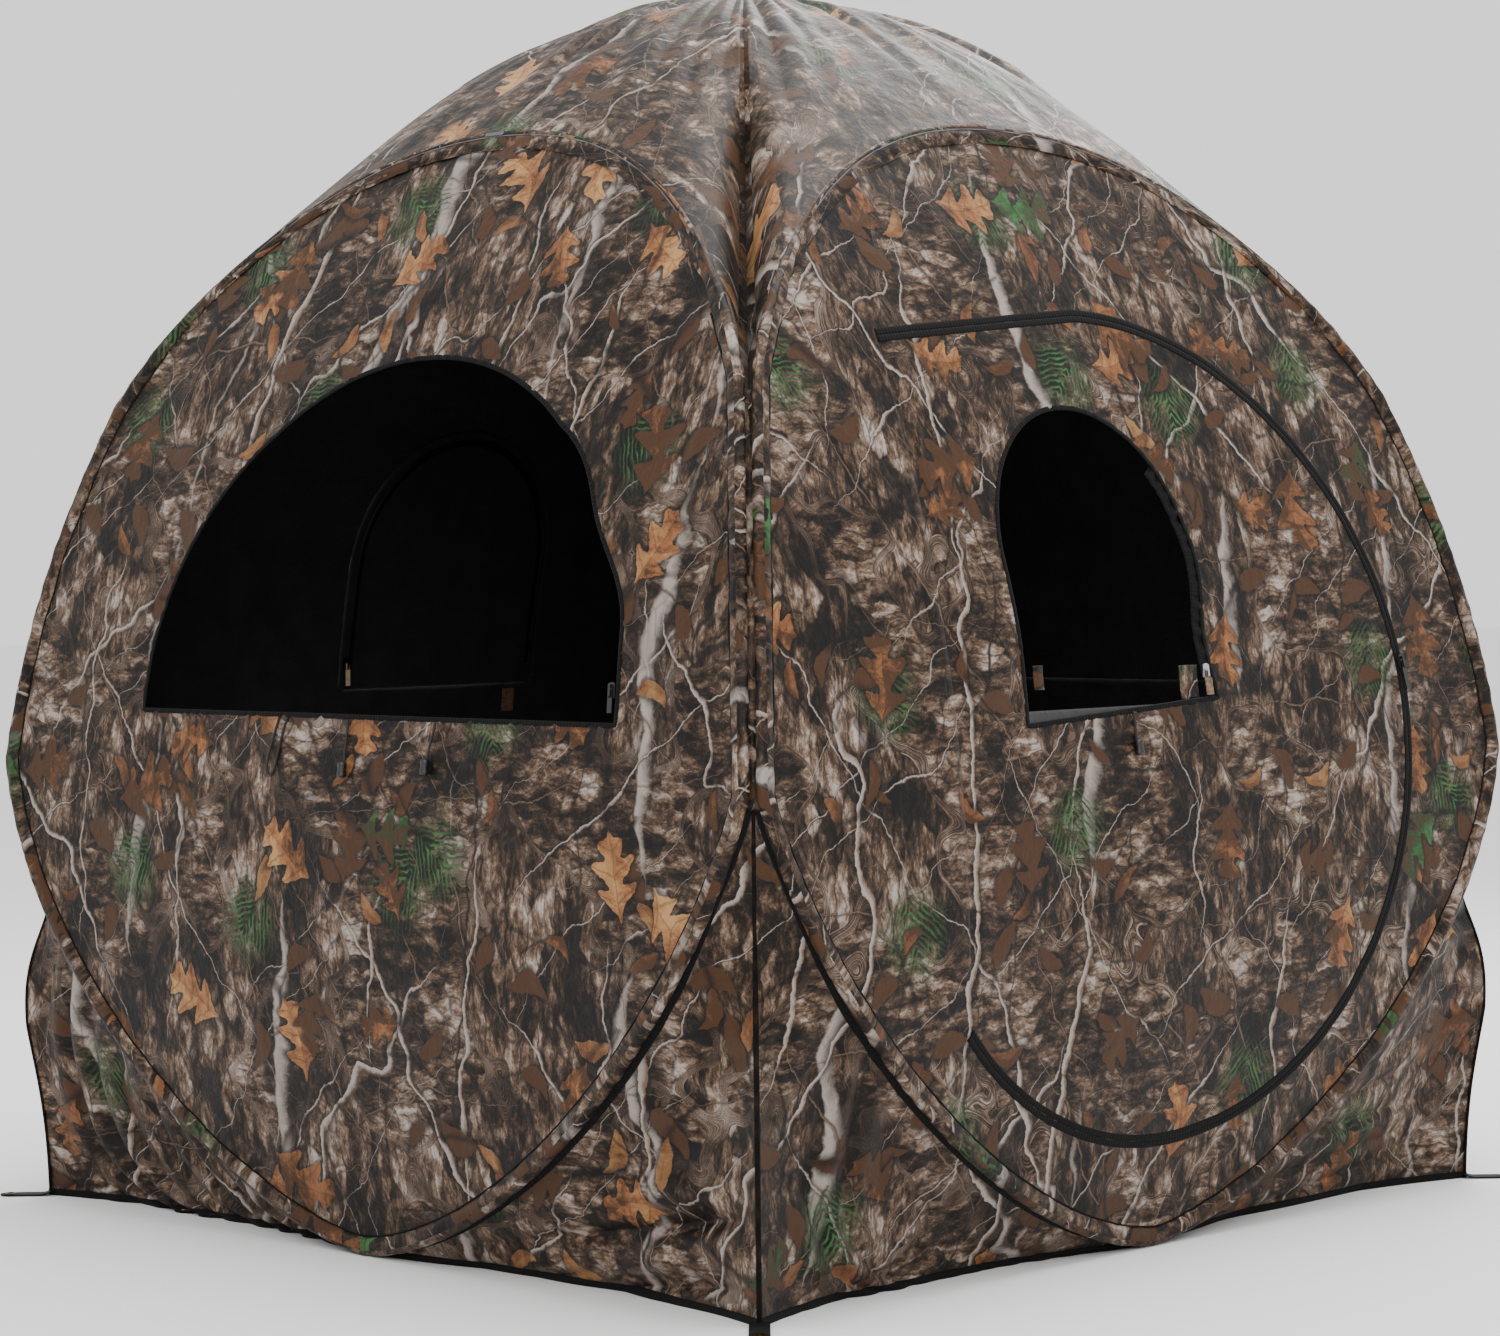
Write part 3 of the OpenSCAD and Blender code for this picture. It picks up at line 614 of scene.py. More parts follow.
def woodland_print(tree, uv):
    """A woodland print: bark and brush, pale branches, evergreen sprays, and dry and fresh leaves."""
    c = bpy.context.scene.blind_colours
    leaves, limbs = bpy.data.node_groups["leaf scatter"], bpy.data.node_groups["branch rows"]
    jolt = add(tree, "TexNoise", {"Vector": uv, "Scale": EDGES, "Detail": 4.0, "Roughness": 0.62},
               noise_dimensions="2D")
    jolt = add(tree, "VectorMath", (jolt.outputs["Color"], (0.5, 0.5, 0.5)), operation="SUBTRACT")
    place = add(tree, "VectorMath", {0: jolt, 1: (WAVER, WAVER, 0.0), 2: uv}, operation="MULTIPLY_ADD")
    zone = add(tree, "TexNoise", {"Vector": uv, "Scale": ZONES, "Detail": 2.0}, noise_dimensions="2D")
    upright = add(tree, "Mapping", {"Vector": place, "Scale": BARK})
    level = add(tree, "Mapping", {"Vector": place, "Scale": BRUSH, "Location": (3.0, 7.0, 0.0)})
    choice = smooth(tree, zone, 0.485, 0.515)
    spot = add(tree, "Mix", {"Factor": choice}, data_type="VECTOR")
    tree.links.new(upright.outputs[0], spot.inputs[4])
    tree.links.new(level.outputs[0], spot.inputs[5])
    lie = spot.outputs[1]
    grain = add(tree, "TexNoise", {"Vector": lie, "Scale": 1.3, "Detail": 6.0, "Roughness": 0.78},
                noise_dimensions="2D")
    plates = add(tree, "TexVoronoi", {"Vector": lie, "Scale": 0.9, "Randomness": 1.0},
                 voronoi_dimensions="2D")
    plate = add(tree, "SeparateColor", (plates.outputs["Color"],))
    patches = add(tree, "TexNoise", {"Vector": place, "Scale": PATCHES, "Detail": 5.0, "Roughness": 0.65},
                  noise_dimensions="2D")
    tone = add(tree, "Math", (patches, 0.75, grain), operation="MULTIPLY_ADD")
    tone = add(tree, "Math", (plate.outputs[0], 0.2, tone), operation="MULTIPLY_ADD")
    tone = add(tree, "Math", (tone, 0.475), operation="SUBTRACT")
    ground = ramp(tree, tone, ((0.33, c.shadow), (0.43, c.bark_dark), (0.52, c.bark), (0.62, c.bark_light),
                               (0.77, c.lichen)))
    cracks = add(tree, "TexVoronoi", {"Vector": lie, "Scale": 0.9, "Randomness": 1.0},
                 voronoi_dimensions="2D", feature="DISTANCE_TO_EDGE")
    crack = add(tree, "Math", (smooth(tree, cracks, 0.09, 0.01), 0.6), operation="MULTIPLY")
    ground = over(tree, ground, c.shadow, crack)
    rows = (
        # angle, period, width and wander in metres, cover, seed, light, dark, strength
        (0.06, 0.33, 0.021, 0.16, 0.55, 2.3, c.lichen, c.bark_dark, 0.8),
        (-0.55, 0.050, 0.0018, 0.13, 0.52, 5.1, c.bark_light, c.bark, 0.75),
        (0.85, 0.056, 0.0017, 0.15, 0.52, 8.4, c.lichen, c.bark, 0.75),
        (1.45, 0.062, 0.0019, 0.15, 0.48, 1.7, c.bark_light, c.bark_dark, 0.7),
        (0.15, 0.066, 0.0018, 0.14, 0.50, 3.9, c.bark_dark, c.shadow, 0.8),
        (0.72, 0.26, 0.0048, 0.20, 0.58, 4.6, c.lichen, c.bark, 0.85),
        (-0.62, 0.23, 0.0042, 0.18, 0.56, 9.2, c.lichen, c.bark, 0.85),
        (0.12, 0.21, 0.0055, 0.16, 0.54, 6.8, c.lichen, c.bark_light, 0.85),
    )
    for angle, period, width, wander, cover, seed, light, dark, strength in rows:
        limb = add(tree, "Group", {"Vector": place, "Angle": angle, "Period": period, "Width": width,
                                   "Wander": wander, "Cover": cover, "Seed": seed}, node_tree=limbs)
        shade = add(tree, "Math", (limb.outputs["Shade"], 0.6), operation="MULTIPLY")
        ground = over(tree, ground, c.shadow, shade)
        lit = add(tree, "MapRange", (limb.outputs["Round"], -0.9, 0.9, 0.0, 1.0))
        rough = add(tree, "Math", (grain, -0.7, lit), operation="MULTIPLY_ADD")
        paint = ramp(tree, rough, ((0.0, light), (0.45, dark)))
        share = add(tree, "Math", (limb.outputs["Limb"], strength), operation="MULTIPLY")
        ground = over(tree, ground, paint, share)
    ground = needles(tree, uv, ground, c)
    scatters = (
        # cell in metres, long and wide as shares of it, lobes, depth, chance, seed, light, dark
        (0.11, 0.30, 0.45, 0.0, 0.0, 0.45, 17.3, c.bark, c.leaf_brown),
        (0.15, 0.20, 0.36, 0.0, 0.0, 0.38, 3.7, c.leaf_tan, c.leaf_rust),
        (0.17, 0.19, 0.30, 0.0, 0.0, 0.40, 12.9, c.leaf_rust, c.leaf_brown),
        (0.20, 0.27, 0.70, 10.5, 0.32, 0.52, 7.7, c.leaf_tan, c.leaf_rust),
        (0.24, 0.24, 0.75, 9.5, 0.36, 0.50, 21.3, c.leaf_rust, c.leaf_brown),
        (0.42, 0.14, 0.70, 10.0, 0.40, 0.35, 31.1, c.green, c.needle),
    )
    for cell, long, wide, lobes, depth, chance, seed, light, dark in scatters:
        spot = add(tree, "VectorMath", (place, (seed, seed * 1.7, 0.0)), operation="ADD")
        leaf = add(tree, "Group", {"Vector": spot, "Cell": cell, "Long": long, "Wide": wide,
                                   "Lobes": lobes, "Depth": depth, "Chance": chance}, node_tree=leaves)
        shade = add(tree, "Math", (leaf.outputs["Shade"], 0.72), operation="MULTIPLY")
        ground = over(tree, ground, c.shadow, shade)
        mottle = add(tree, "Math", (leaf.outputs["Tone"], 0.3, patches), operation="MULTIPLY_ADD")
        mottle = add(tree, "Math", (grain, 0.8, mottle), operation="MULTIPLY_ADD")
        mottle = add(tree, "Math", (mottle, 0.62), operation="SUBTRACT")
        paint = ramp(tree, mottle, ((0.36, c.leaf_brown), (0.55, dark), (0.78, light)))
        vein = add(tree, "Math", (leaf.outputs["Vein"], 0.45), operation="MULTIPLY")
        paint = over(tree, paint, c.leaf_brown, vein)
        ground = over(tree, ground, paint, leaf.outputs["Leaf"])
    return ground


# Sprays to a metre, features to a metre of what roughens them, and radians to a metre of their needles
SPRAYS, JOLTS, NEEDLES = 3.4, 45.0, 520.0


def needles(tree, uv, ground, c):
    """Evergreen sprays: fine needles off a stem, one spray to a cell."""
    # A cell is 290 mm across, a spray about 100 mm, and its needles are 12 mm apart
    cells = add(tree, "TexVoronoi", {"Vector": uv, "Scale": SPRAYS, "Randomness": 0.9},
                voronoi_dimensions="2D")
    local = add(tree, "VectorMath", (uv, cells.outputs["Position"]), operation="SUBTRACT")
    chance = add(tree, "SeparateColor", (cells.outputs["Color"],))
    angle = add(tree, "MapRange", (chance.outputs[0], 0.0, 1.0, -2.6, -0.6))
    spray = add(tree, "VectorRotate", {"Vector": local, "Angle": angle}, rotation_type="Z_AXIS")
    part = add(tree, "SeparateXYZ", (spray,))
    jolt = add(tree, "TexNoise", {"Vector": uv, "Scale": JOLTS, "Detail": 2.0}, noise_dimensions="2D")
    off = add(tree, "Math", (part.outputs[1],), operation="ABSOLUTE")
    extent = add(tree, "Math", (off, 1.3, part.outputs[0]), operation="MULTIPLY_ADD")
    extent = add(tree, "Math", (jolt, 0.02, extent), operation="MULTIPLY_ADD")
    comb = add(tree, "Math", (extent, NEEDLES), operation="MULTIPLY")
    comb = add(tree, "Math", (comb,), operation="SINE")
    near = add(tree, "VectorMath", (spray,), operation="LENGTH")
    ragged = add(tree, "Math", (jolt, 0.05, near.outputs["Value"]), operation="MULTIPLY_ADD")
    body = smooth(tree, ragged, 0.095, 0.05)
    stripe = smooth(tree, comb, 0.05, 0.7)
    shown = add(tree, "Math", (chance.outputs[1], 0.55), operation="LESS_THAN")
    share = add(tree, "Math", (body, shown), operation="MULTIPLY")
    dim = add(tree, "Math", (share, 0.45), operation="MULTIPLY")
    ground = over(tree, ground, c.shadow, dim)
    paint = ramp(tree, jolt, ((0.35, c.needle), (0.65, c.green)))
    return over(tree, ground, paint, add(tree, "Math", (share, stripe), operation="MULTIPLY"))


def printed_polyester():
    """Woven polyester taffeta, screen printed."""
    # The eye gets a satin cloth: a soft gloss that breaks up along 30 mm crumples. The threads, about
    # 0.2 mm apart, are too fine to show
    material, tree, shader = new_material("printed_polyester", {
        "Roughness": 0.5, "IOR": 1.5, "Specular IOR Level": 0.17, "Sheen Weight": 0.02,
        "Sheen Roughness": 0.4})
    uv = add(tree, "UVMap", uv_map="cloth").outputs[0]
    ground = woodland_print(tree, uv)
    tree.links.new(ground.outputs["Result"], shader.inputs["Base Color"])
    crumple = add(tree, "TexNoise", {"Vector": uv, "Scale": 34.0, "Detail": 5.0, "Roughness": 0.6},
                  noise_dimensions="2D")
    bump(tree, shader, crumple, 2.2 * MM)
    return material


def black_coating():
    """Polyester coated black on the inside."""
    # The eye gets a nearly matt black with a low sheen. Its colour carries painted sheen and painted
    # shade: paler on the raised side of 45 mm crumples and darker in their hollows
    material, tree, shader = new_material("black_coated_polyester", {
        "Roughness": 0.55, "IOR": 1.46, "Specular IOR Level": 0.45, "Sheen Weight": 0.1})
    uv = add(tree, "UVMap", uv_map="cloth").outputs[0]
    crumple = add(tree, "TexNoise", {"Vector": uv, "Scale": 22.0, "Detail": 6.0, "Roughness": 0.6},
                  noise_dimensions="2D")
    black = bpy.context.scene.blind_colours.black
    # Painted shade in the crumples' hollows and painted sheen on their raised sides, from the bump's own
    # noise
    hollow_painted_shade, raised_painted_sheen = (tuple(v * k for v in black) for k in (2.5, 7.0))
    tone = ramp(tree, crumple, ((0.3, hollow_painted_shade), (0.75, raised_painted_sheen)))
    tree.links.new(tone.outputs[0], shader.inputs["Base Color"])
    bump(tree, shader, crumple, 2.5 * MM)
    return material


def woven_black(name, thread, roughness):
    """Black woven tape, with ribs across it at the thread spacing, drawn as coarse as it needs to show."""
    # The eye gets a matt black whose ribs make a faint ladder of light, and a little fluff
    material, tree, shader = new_material(name, {"Roughness": roughness, "IOR": 1.5,
                                                 "Specular IOR Level": 0.12, "Sheen Weight": 0.02})
    uv = add(tree, "UVMap", uv_map="cloth").outputs[0]
    # The bands come out 2 pi threads apart, which is as coarse as they need to be to show
    ribs = add(tree, "TexWave", {"Vector": uv, "Scale": 1 / (thread * 20), "Distortion": 0.6,
                                 "Detail": 1.0}, wave_type="BANDS", bands_direction="X")
    fluff = add(tree, "TexNoise", {"Vector": uv, "Scale": 260.0, "Detail": 3.0}, noise_dimensions="2D")
    height = add(tree, "Math", (fluff, 0.4, ribs), operation="MULTIPLY_ADD")
    black = bpy.context.scene.blind_colours.black
    tone = ramp(tree, fluff, ((0.3, black), (0.8, tuple(v * 2.5 for v in black))))
    tree.links.new(tone.outputs[0], shader.inputs["Base Color"])
    bump(tree, shader, height, 0.3 * MM)
    return material


def seam_cloth():
    """The gusset's seam allowance, folded into a narrow roll of the printed cloth and coloured near black
    as painted shade of the fold.
    """
    # The eye gets a thin dark line of painted shade, a little browner along random streaks
    material, tree, shader = new_material("folded_seam_polyester_painted_shade", {"Roughness": 0.75, "IOR": 1.5,
                                                                  "Specular IOR Level": 0.1})
    uv = add(tree, "UVMap", uv_map="cloth").outputs[0]
    c = bpy.context.scene.blind_colours
    streak = add(tree, "TexNoise", {"Vector": uv, "Scale": 40.0, "Detail": 4.0}, noise_dimensions="2D")
    # Near black and dark brown: painted shade of the folded seam
    tone = ramp(tree, streak, ((0.45, c.shadow), (0.75, c.bark_dark)))
    tree.links.new(tone.outputs[0], shader.inputs["Base Color"])
    bump(tree, shader, streak, 0.8 * MM)
    return material


def hard_material(name, code, roughness, metal, grain, spread, depth):
    """A hard surface: grain is its texture's size in metres, and spread how much its tone wanders."""
    material, tree, shader = new_material(name, {"Roughness": roughness, "Metallic": metal})
    place = add(tree, "TexCoord").outputs["Object"]
    marks = add(tree, "TexNoise", {"Vector": place, "Scale": 1 / grain, "Detail": 5.0, "Roughness": 0.65})
    base = linear(code)
    dark, light = (tuple(min(1.0, v * k) for v in base) for k in (1 - spread, 1 + spread))
    tone = ramp(tree, marks, ((0.35, dark), (0.68, light)))
    tree.links.new(tone.outputs[0], shader.inputs["Base Color"])
    bump(tree, shader, marks, depth)
    return material


MATERIALS = {}


def make_materials():
    """Every finish of the blind. The comments say what each one gives the eye."""
    leaf_group()
    limb_group()
    MATERIALS.update({
        "print": printed_polyester(),
        "seam_painted_shade": seam_cloth(),
        # A small folded scrap of print, blotched brown
        "tag": hard_material("printed_polyester_tag", "6B5340", 0.6, 0.0, 5 * MM, 0.6, 0.1 * MM),
        "coating": black_coating(),
        # Fine ribs, almost no gloss
        "grosgrain": woven_black("black_grosgrain", 0.9 * MM, 0.85),
        # Coarse ribs and a slight shine
        "webbing": woven_black("polypropylene_webbing", 1.6 * MM, 0.65),
        # Smooth extruded coil: a dull gleam on each turn
        "nylon": hard_material("nylon_zip_coil", "101010", 0.4, 0.0, 2 * MM, 0.4, 0.05 * MM),
        # Die cast and enamelled: near black with tight highlights
        "enamel": hard_material("enamelled_zinc", "0D0D0D", 0.3, 0.0, 4 * MM, 0.5, 0.04 * MM),
        # Rolled flat and oiled: grey, with long soft reflections
        "spring": hard_material("oiled_spring_steel", "6F6F72", 0.35, 1.0, 3 * MM, 0.15, 0.03 * MM),
        # Pressed and blackened: brown where the black has rubbed off
        "brass": hard_material("blackened_brass", "4A3C22", 0.42, 1.0, 3 * MM, 0.35, 0.05 * MM),
        # Die cast and plated: bright, with clear highlights
        "zinc": hard_material("plated_zinc", "B9B9BC", 0.28, 1.0, 3 * MM, 0.12, 0.03 * MM),
        # Cast: an even, waxy cream
        "cream": hard_material("cast_resin_cream", "C9B68C", 0.5, 0.0, 5 * MM, 0.12, 0.05 * MM),
        # Injection moulded with a fine spark-eroded grain: satin black
        "acetal": hard_material("moulded_acetal", "121212", 0.38, 0.0, 1.2 * MM, 0.35, 0.03 * MM),
        # Braided cover: matt black, bumpy at the braid's pitch
        "elastic": hard_material("braided_elastic", "0E0E0E", 0.7, 0.0, 1.1 * MM, 0.6, 0.25 * MM),
    })


# ---------------------------------------------------------------- pieces


# How far an open flap is turned down from closed
FLAP_DROP = math.radians(160)
# How far the door window's sill hangs from level at its ends
SILL_LEFT, SILL_RIGHT = -15 * MM, 7 * MM
# How far above the sill a closed window's zip starts
ZIP_START = 18 * MM
# Depth below the wall's face at which the flaps lie when closed, and of an open flap's root
FLAP_DEPTH, ROOT_DEPTH = 2.6 * MM, 2.7 * MM
# Middle of each side's window, seen with that side turned to the front
WINDOW_X = {FRONT: -0.075, RIGHT: -0.039, BACK: -0.042, LEFT: 0.039}


def window_line(side):
    """A window's outline. The open windows' edges are slack, and the door window's sill hangs askew."""
    arch = big_arch if side in (RIGHT, LEFT) else small_arch
    line = arch(WINDOW_X[side])
    x, z = line[:, 0] - WINDOW_X[side], line[:, 1] - SILL
    if side == LEFT:
        edge = x > 0.3
        pull = (11 * MM * bump_at(z, 0.14, 0.05) - 9 * MM * bump_at(z, 0.24, 0.045)
                + 6 * MM * bump_at(z, 0.33, 0.04))
        return line + np.stack([edge * pull * (z > 0.03), 0 * z], -1)
    if side == FRONT:
        low = np.clip(1 - z / 0.05, 0, 1)
        right = np.where(x > 0, 9 * MM * bump_at(z, 0.17, 0.05) - 5 * MM * bump_at(z, 0.09, 0.03), 0)
        left = np.where(x < 0, 6 * MM * bump_at(z, 0.1, 0.09), 0)
        drop = low * np.where(x > 0, SILL_RIGHT, SILL_LEFT)
        return line + np.stack([right + left + 8 * MM * low * (x > 0), drop], -1)
    return line


def build_walls():
    """Four bowed walls, with the openings for the door and the windows."""
    hoop = beside(hoop_outline(), -4 * MM)
    for side, name in enumerate(SIDES):
        inner = door_line() if side == FRONT else window_line(side)
        centre = WALL_MIDDLE if side == FRONT else (WINDOW_X[side], SILL + WINDOW_MIDDLE)
        piece = cloth_panel(f"wall_cloth_{name}", side, inner, hoop, centre,
                            [MATERIALS["print"], MATERIALS["coating"]])
        belong(piece, "frame", f"wall_{name}")


# Height at which the roof starts to lap a sleeve, and the rise over which the lap grows to full
LAP_START, LAP_RISE = 1.18, 0.16
# Distance between a sleeve's rings
RINGS = 8 * MM


def build_sleeves():
    """Cloth sleeves round the hoops, gathered along their seams and drawn flat where the roof joins."""
    path, along = evenly(hoop_outline(), RINGS)
    ahead = np.roll(path, -1, 0) - np.roll(path, 1, 0)
    ahead = ahead / np.linalg.norm(ahead, axis=1, keepdims=True)
    turn = np.linspace(0, 2 * math.pi, 24, endpoint=False)
    flat = np.clip((path[:, 1] - LAP_START) / LAP_RISE, 0, 1)[:, None]
    flat = flat * flat * (3 - 2 * flat)
    for side, name in enumerate(SIDES):
        gather = 0.7 * MM * ripple(along[:, None], 0.03 * turn, 0.03, 50 + side)
        inward = np.where(np.sin(turn) < 0, 7 * MM * (1 - flat), 0)
        wide = (SLEEVE + 0.6 * MM) * (1 - 0.6 * flat) + inward + gather * (1 - 0.8 * flat)
        thick = (SLEEVE - 0.4 * MM) * (1 - 0.78 * flat) + gather * (1 - 0.8 * flat)
        x = path[:, 0, None] + wide * np.sin(turn) * ahead[:, 1, None]
        z = path[:, 1, None] - wide * np.sin(turn) * ahead[:, 0, None]
        points = on_wall(x, z, thick * np.cos(turn), side)
        lap = np.append(turn, 2 * math.pi) * SLEEVE
        run = np.append(along, along[-1] + RINGS) + 3.1 * side
        uv = np.stack(np.broadcast_arrays(run[:, None], lap[None]), -1)
        piece = grid_piece(f"sleeve_{name}", points, uv, [MATERIALS["print"]], wrap=True, roll=True)
        belong(piece, "frame", f"hoop_sleeve_{name}")
        free = path[path[:, 1] < 1.2]
        start = int(np.argmax(np.linalg.norm(np.diff(free, axis=0), axis=1))) + 1
        line = np.roll(free, -start, 0)
        piping = laid_strip(f"sleeve_piping_{name}", line, -18 * MM, -15.2 * MM, 0.5 * MM, side,
                            [MATERIALS["grosgrain"]], step=RINGS)
        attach(piping, "frame")


# Half the stretch of a hoop that a gore is sewn to, how far it laps down, and the steepness of its creases
GORE_HALF = math.radians(60)
LAP = 24 * MM
ROOF_SLOPE = 0.45


def roof_points(u, t):
    """The front gore of the roof: u runs across it, and t from the hoop up to the peak."""
    s = sizes()
    angle = RIGHT_ANGLE - u * GORE_HALF
    foot = hoop_at(angle)
    y = -wall_out(foot[..., 1])
    edge = np.abs(u) > 0.9999
    corner = (np.abs(foot[..., 0]) - y) / 2
    x = np.where(edge, np.sign(u) * corner, foot[..., 0])
    y = np.where(edge, -corner, y)
    z = foot[..., 1]
    rise = PEAK - z
    dip = s.corner_dip * np.abs(u) ** 4 * np.sin(math.pi * np.minimum(1, t / 0.55))
    return np.stack([x * (1 - t), y * (1 - t), z + rise * (2 * t - t * t) - dip], -1)


def build_roof():
    """Four gores from the hoops' top arcs up to the peak, creased towards the peak."""
    u = np.linspace(-1, 1, 97)[None]
    t = np.append(np.linspace(0, 0.04, 8)[:-1], np.linspace(0.04, 0.995, 68))[:, None]
    u, t = np.broadcast_arrays(u, t)
    over_hoop = np.clip((0.86 - np.abs(u)) / 0.2, 0, 1)
    over_hoop = over_hoop * over_hoop * (3 - 2 * over_hoop)
    for side, name in enumerate(SIDES):
        points = roof_points(u, t)
        points[..., 2] += (2.5 * MM * np.exp(-(t / 0.03) ** 2) * over_hoop
                           - 7 * MM * np.clip((t - 0.8) / 0.2, 0, 1) ** 2)
        fan = np.arctan2(points[..., 0], -points[..., 1])
        radius = np.hypot(points[..., 0], points[..., 1])
        window = np.sin(math.pi * np.clip(t, 0, 1)) * (1 - np.abs(u) ** 6)
        crease = 5.0 * MM * creased(fan * 0.5, radius * 0.1, 0.06, 60 + side)
        crease += 3.0 * MM * creased(points[..., 0], points[..., 1], 0.1, 64 + side)
        lift = crease * window
        slope = points[..., :2] / np.maximum(radius, 0.02)[..., None] * ROOF_SLOPE
        points = points + lift[..., None] * np.concatenate([slope, np.ones_like(lift)[..., None]], -1)
        foot, lap = points[0], over_hoop[0][:, None]
        down = foot - np.stack([0 * lap[:, 0], 0 * lap[:, 0], LAP * lap[:, 0] + 1 * MM], -1)
        down[:, 1] = np.where(lap[:, 0] > 0, -wall_out(down[:, 2]) - 2.0 * MM, down[:, 1] - 1 * MM)
        down[:, 1] = lap[:, 0] * down[:, 1] + (1 - lap[:, 0]) * foot[:, 1]
        front = foot + lap * [[0, -3.4 * MM, -7 * MM]] + [[0, 0, -0.5 * MM]]
        points = np.concatenate([down[None], front[None], points])
        uv = np.stack([points[..., 0] + 1.3 * side, 1.35 * points[..., 1] + 5.0 + side], -1)
        uv[:2, :, 1] -= np.array([[0.03], [0.01]])
        piece = grid_piece(f"roof_cloth_{name}", turned(points, side), uv,
                           [MATERIALS["print"], MATERIALS["coating"]])
        thicken(piece, sizes().cloth, lining=1)
        belong(piece, "frame", f"roof_gore_{name}")


def seam_distance(z):
    """Distance of a corner seam from the centre."""
    # It stands out fully from 0.48 m up, and is drawn in by 8 mm at 0.12 m
    s = sizes()
    belly = s.corner_belly * np.sin(RIGHT_ANGLE * np.minimum(1, z / 0.48))
    return s.corner_reach + belly - 0.008 * np.sin(math.pi * np.minimum(1, z / 0.24))


# How deep a gusset's seam sinks where the hoops touch, and how far its cloth dips beside them
RECESS, TUCK = 50 * MM, 13 * MM
# How far a gusset is drawn in between a hoop and its seam, as a share of its width
HOLLOW = 0.065
GUSSET_COLUMNS = 141


def gusset_points(foot, columns, side, sag, lift=0.0):
    """Rows of cloth from one hoop to the next by way of the corner seam, for the front right corner.

    columns run from one hoop at -1 through the seam at 0 to the other at 1. If lift is given, the rows
    stand that far off the gusset, and columns are distances from a hoop in metres.
    """
    x, z = foot[:, 0, None], np.maximum(foot[:, 1, None], 1.5 * MM)
    y = -wall_out(z)
    chord = (x - y) / math.sqrt(2)
    seam = (seam_distance(z) - RECESS * bump_at(z, 0.44, 0.1) if sag == 0 else chord - sag) / math.sqrt(2)
    start = np.stack(np.broadcast_arrays(x, y), -1)
    end = np.stack([seam, -seam], -1)
    width = np.linalg.norm(end - start, axis=-1)
    k = np.abs(columns)
    way = np.sign(columns)
    if lift:
        k = 1 - k / width
    row = start * k[..., None] + end * (1 - k[..., None])
    d = (end - start) / np.maximum(width, 1e-6)[..., None]
    normal = np.stack([d[..., 1], -d[..., 0]], -1)
    run = (1 - k) * width
    middle = np.clip(5 * k * (1 - k), 0, 1) * np.clip(width / 0.12, 0, 1)
    low = bump_at(z, 0.12, 0.1)
    left = 6 * MM * creased(run * 0.7 + z * 0.9, 0.25 * z + 0 * run, 0.036, 80 + side, spread=0.35)
    left = left + 9 * MM * low * ripple(run * 0.5, z + 0 * run, 0.2, 86 + side)
    right = 6 * MM * creased(run * 0.5, z + 0 * run, 0.045, 90 + side, lie=RIGHT_ANGLE, spread=0.6)
    sharp = 18 * MM * creased(run * 0.35, z - 0.25 * run, 0.1, 95 + side, lie=RIGHT_ANGLE, spread=0.15)
    right = right + sharp * low
    folds = np.where(way < 0, right, left)
    fade = np.clip(k * width / 0.03, 0, 1)
    tuck = TUCK * np.exp(-run / 0.03) * fade * (1 - 0.8 * np.exp(-run / 0.005))
    place = row + normal * ((folds - HOLLOW * width) * middle - tuck + lift)[..., None]
    flip = np.where((way > 0)[..., None], np.stack([-place[..., 1], -place[..., 0]], -1), place)
    uv = np.stack([way * k * width + 0.9 * side + 7.0, z + 0 * run + 0.35 * side], -1)
    return np.concatenate([flip, z[..., None] + 0 * flip[..., :1]], -1), uv


def build_gussets():
    """Corner gussets, seamed down the middle, that join the hoops from the ground to where they touch."""
    s = sizes()
    columns = np.linspace(-1, 1, GUSSET_COLUMNS)[None]
    low, _ = evenly(beside(hoop_outline(), 5 * MM)[:360], 7 * MM, closed=False)
    rise = low[(low[:, 0] > 0.01) & (low[:, 1] < 0.60)]
    strip = low[(low[:, 0] > 0.15) & (low[:, 1] >= 0.593) & (low[:, 1] < 1.09)]
    cloths = [MATERIALS["print"], MATERIALS["coating"]]
    for i, name in enumerate(CORNERS):
        points, uv = gusset_points(rise, columns, i, 0.0)
        piece = grid_piece(f"gusset_cloth_{name}", turned(points, i - 1), uv, cloths)
        thicken(piece, s.cloth, lining=1)
        belong(piece, "frame", f"corner_gusset_{name}")
        hem = build_hem(name, i, points[:6])
        build_gusset_seam(name, i, points[:, GUSSET_COLUMNS // 2])
        # A black binding beside each hoop on the gusset's side: its black is partly the real binding and
        # partly painted shade from the sleeve
        for way, part in ((-1, "right"), (1, "left")):
            across = way * np.linspace(1, 12, 6)[None] * MM
            edge, uv = gusset_points(rise[8:], across, i, 0.0, lift=1.2 * MM)
            binding_and_shade = grid_piece(f"gusset_binding_{name}_{part}", turned(edge, i - 1), uv,
                              [MATERIALS["grosgrain"]])
            thicken(binding_and_shade, TAPE_THICK, offset=0.0)
            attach(binding_and_shade, "frame")
        points, uv = gusset_points(strip, np.linspace(-1, 1, 9)[None], i, 9 * MM)
        joint = grid_piece(f"corner_joint_{name}", turned(points, i - 1), uv, cloths)
        thicken(joint, s.cloth, lining=1)
        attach(joint, "frame")


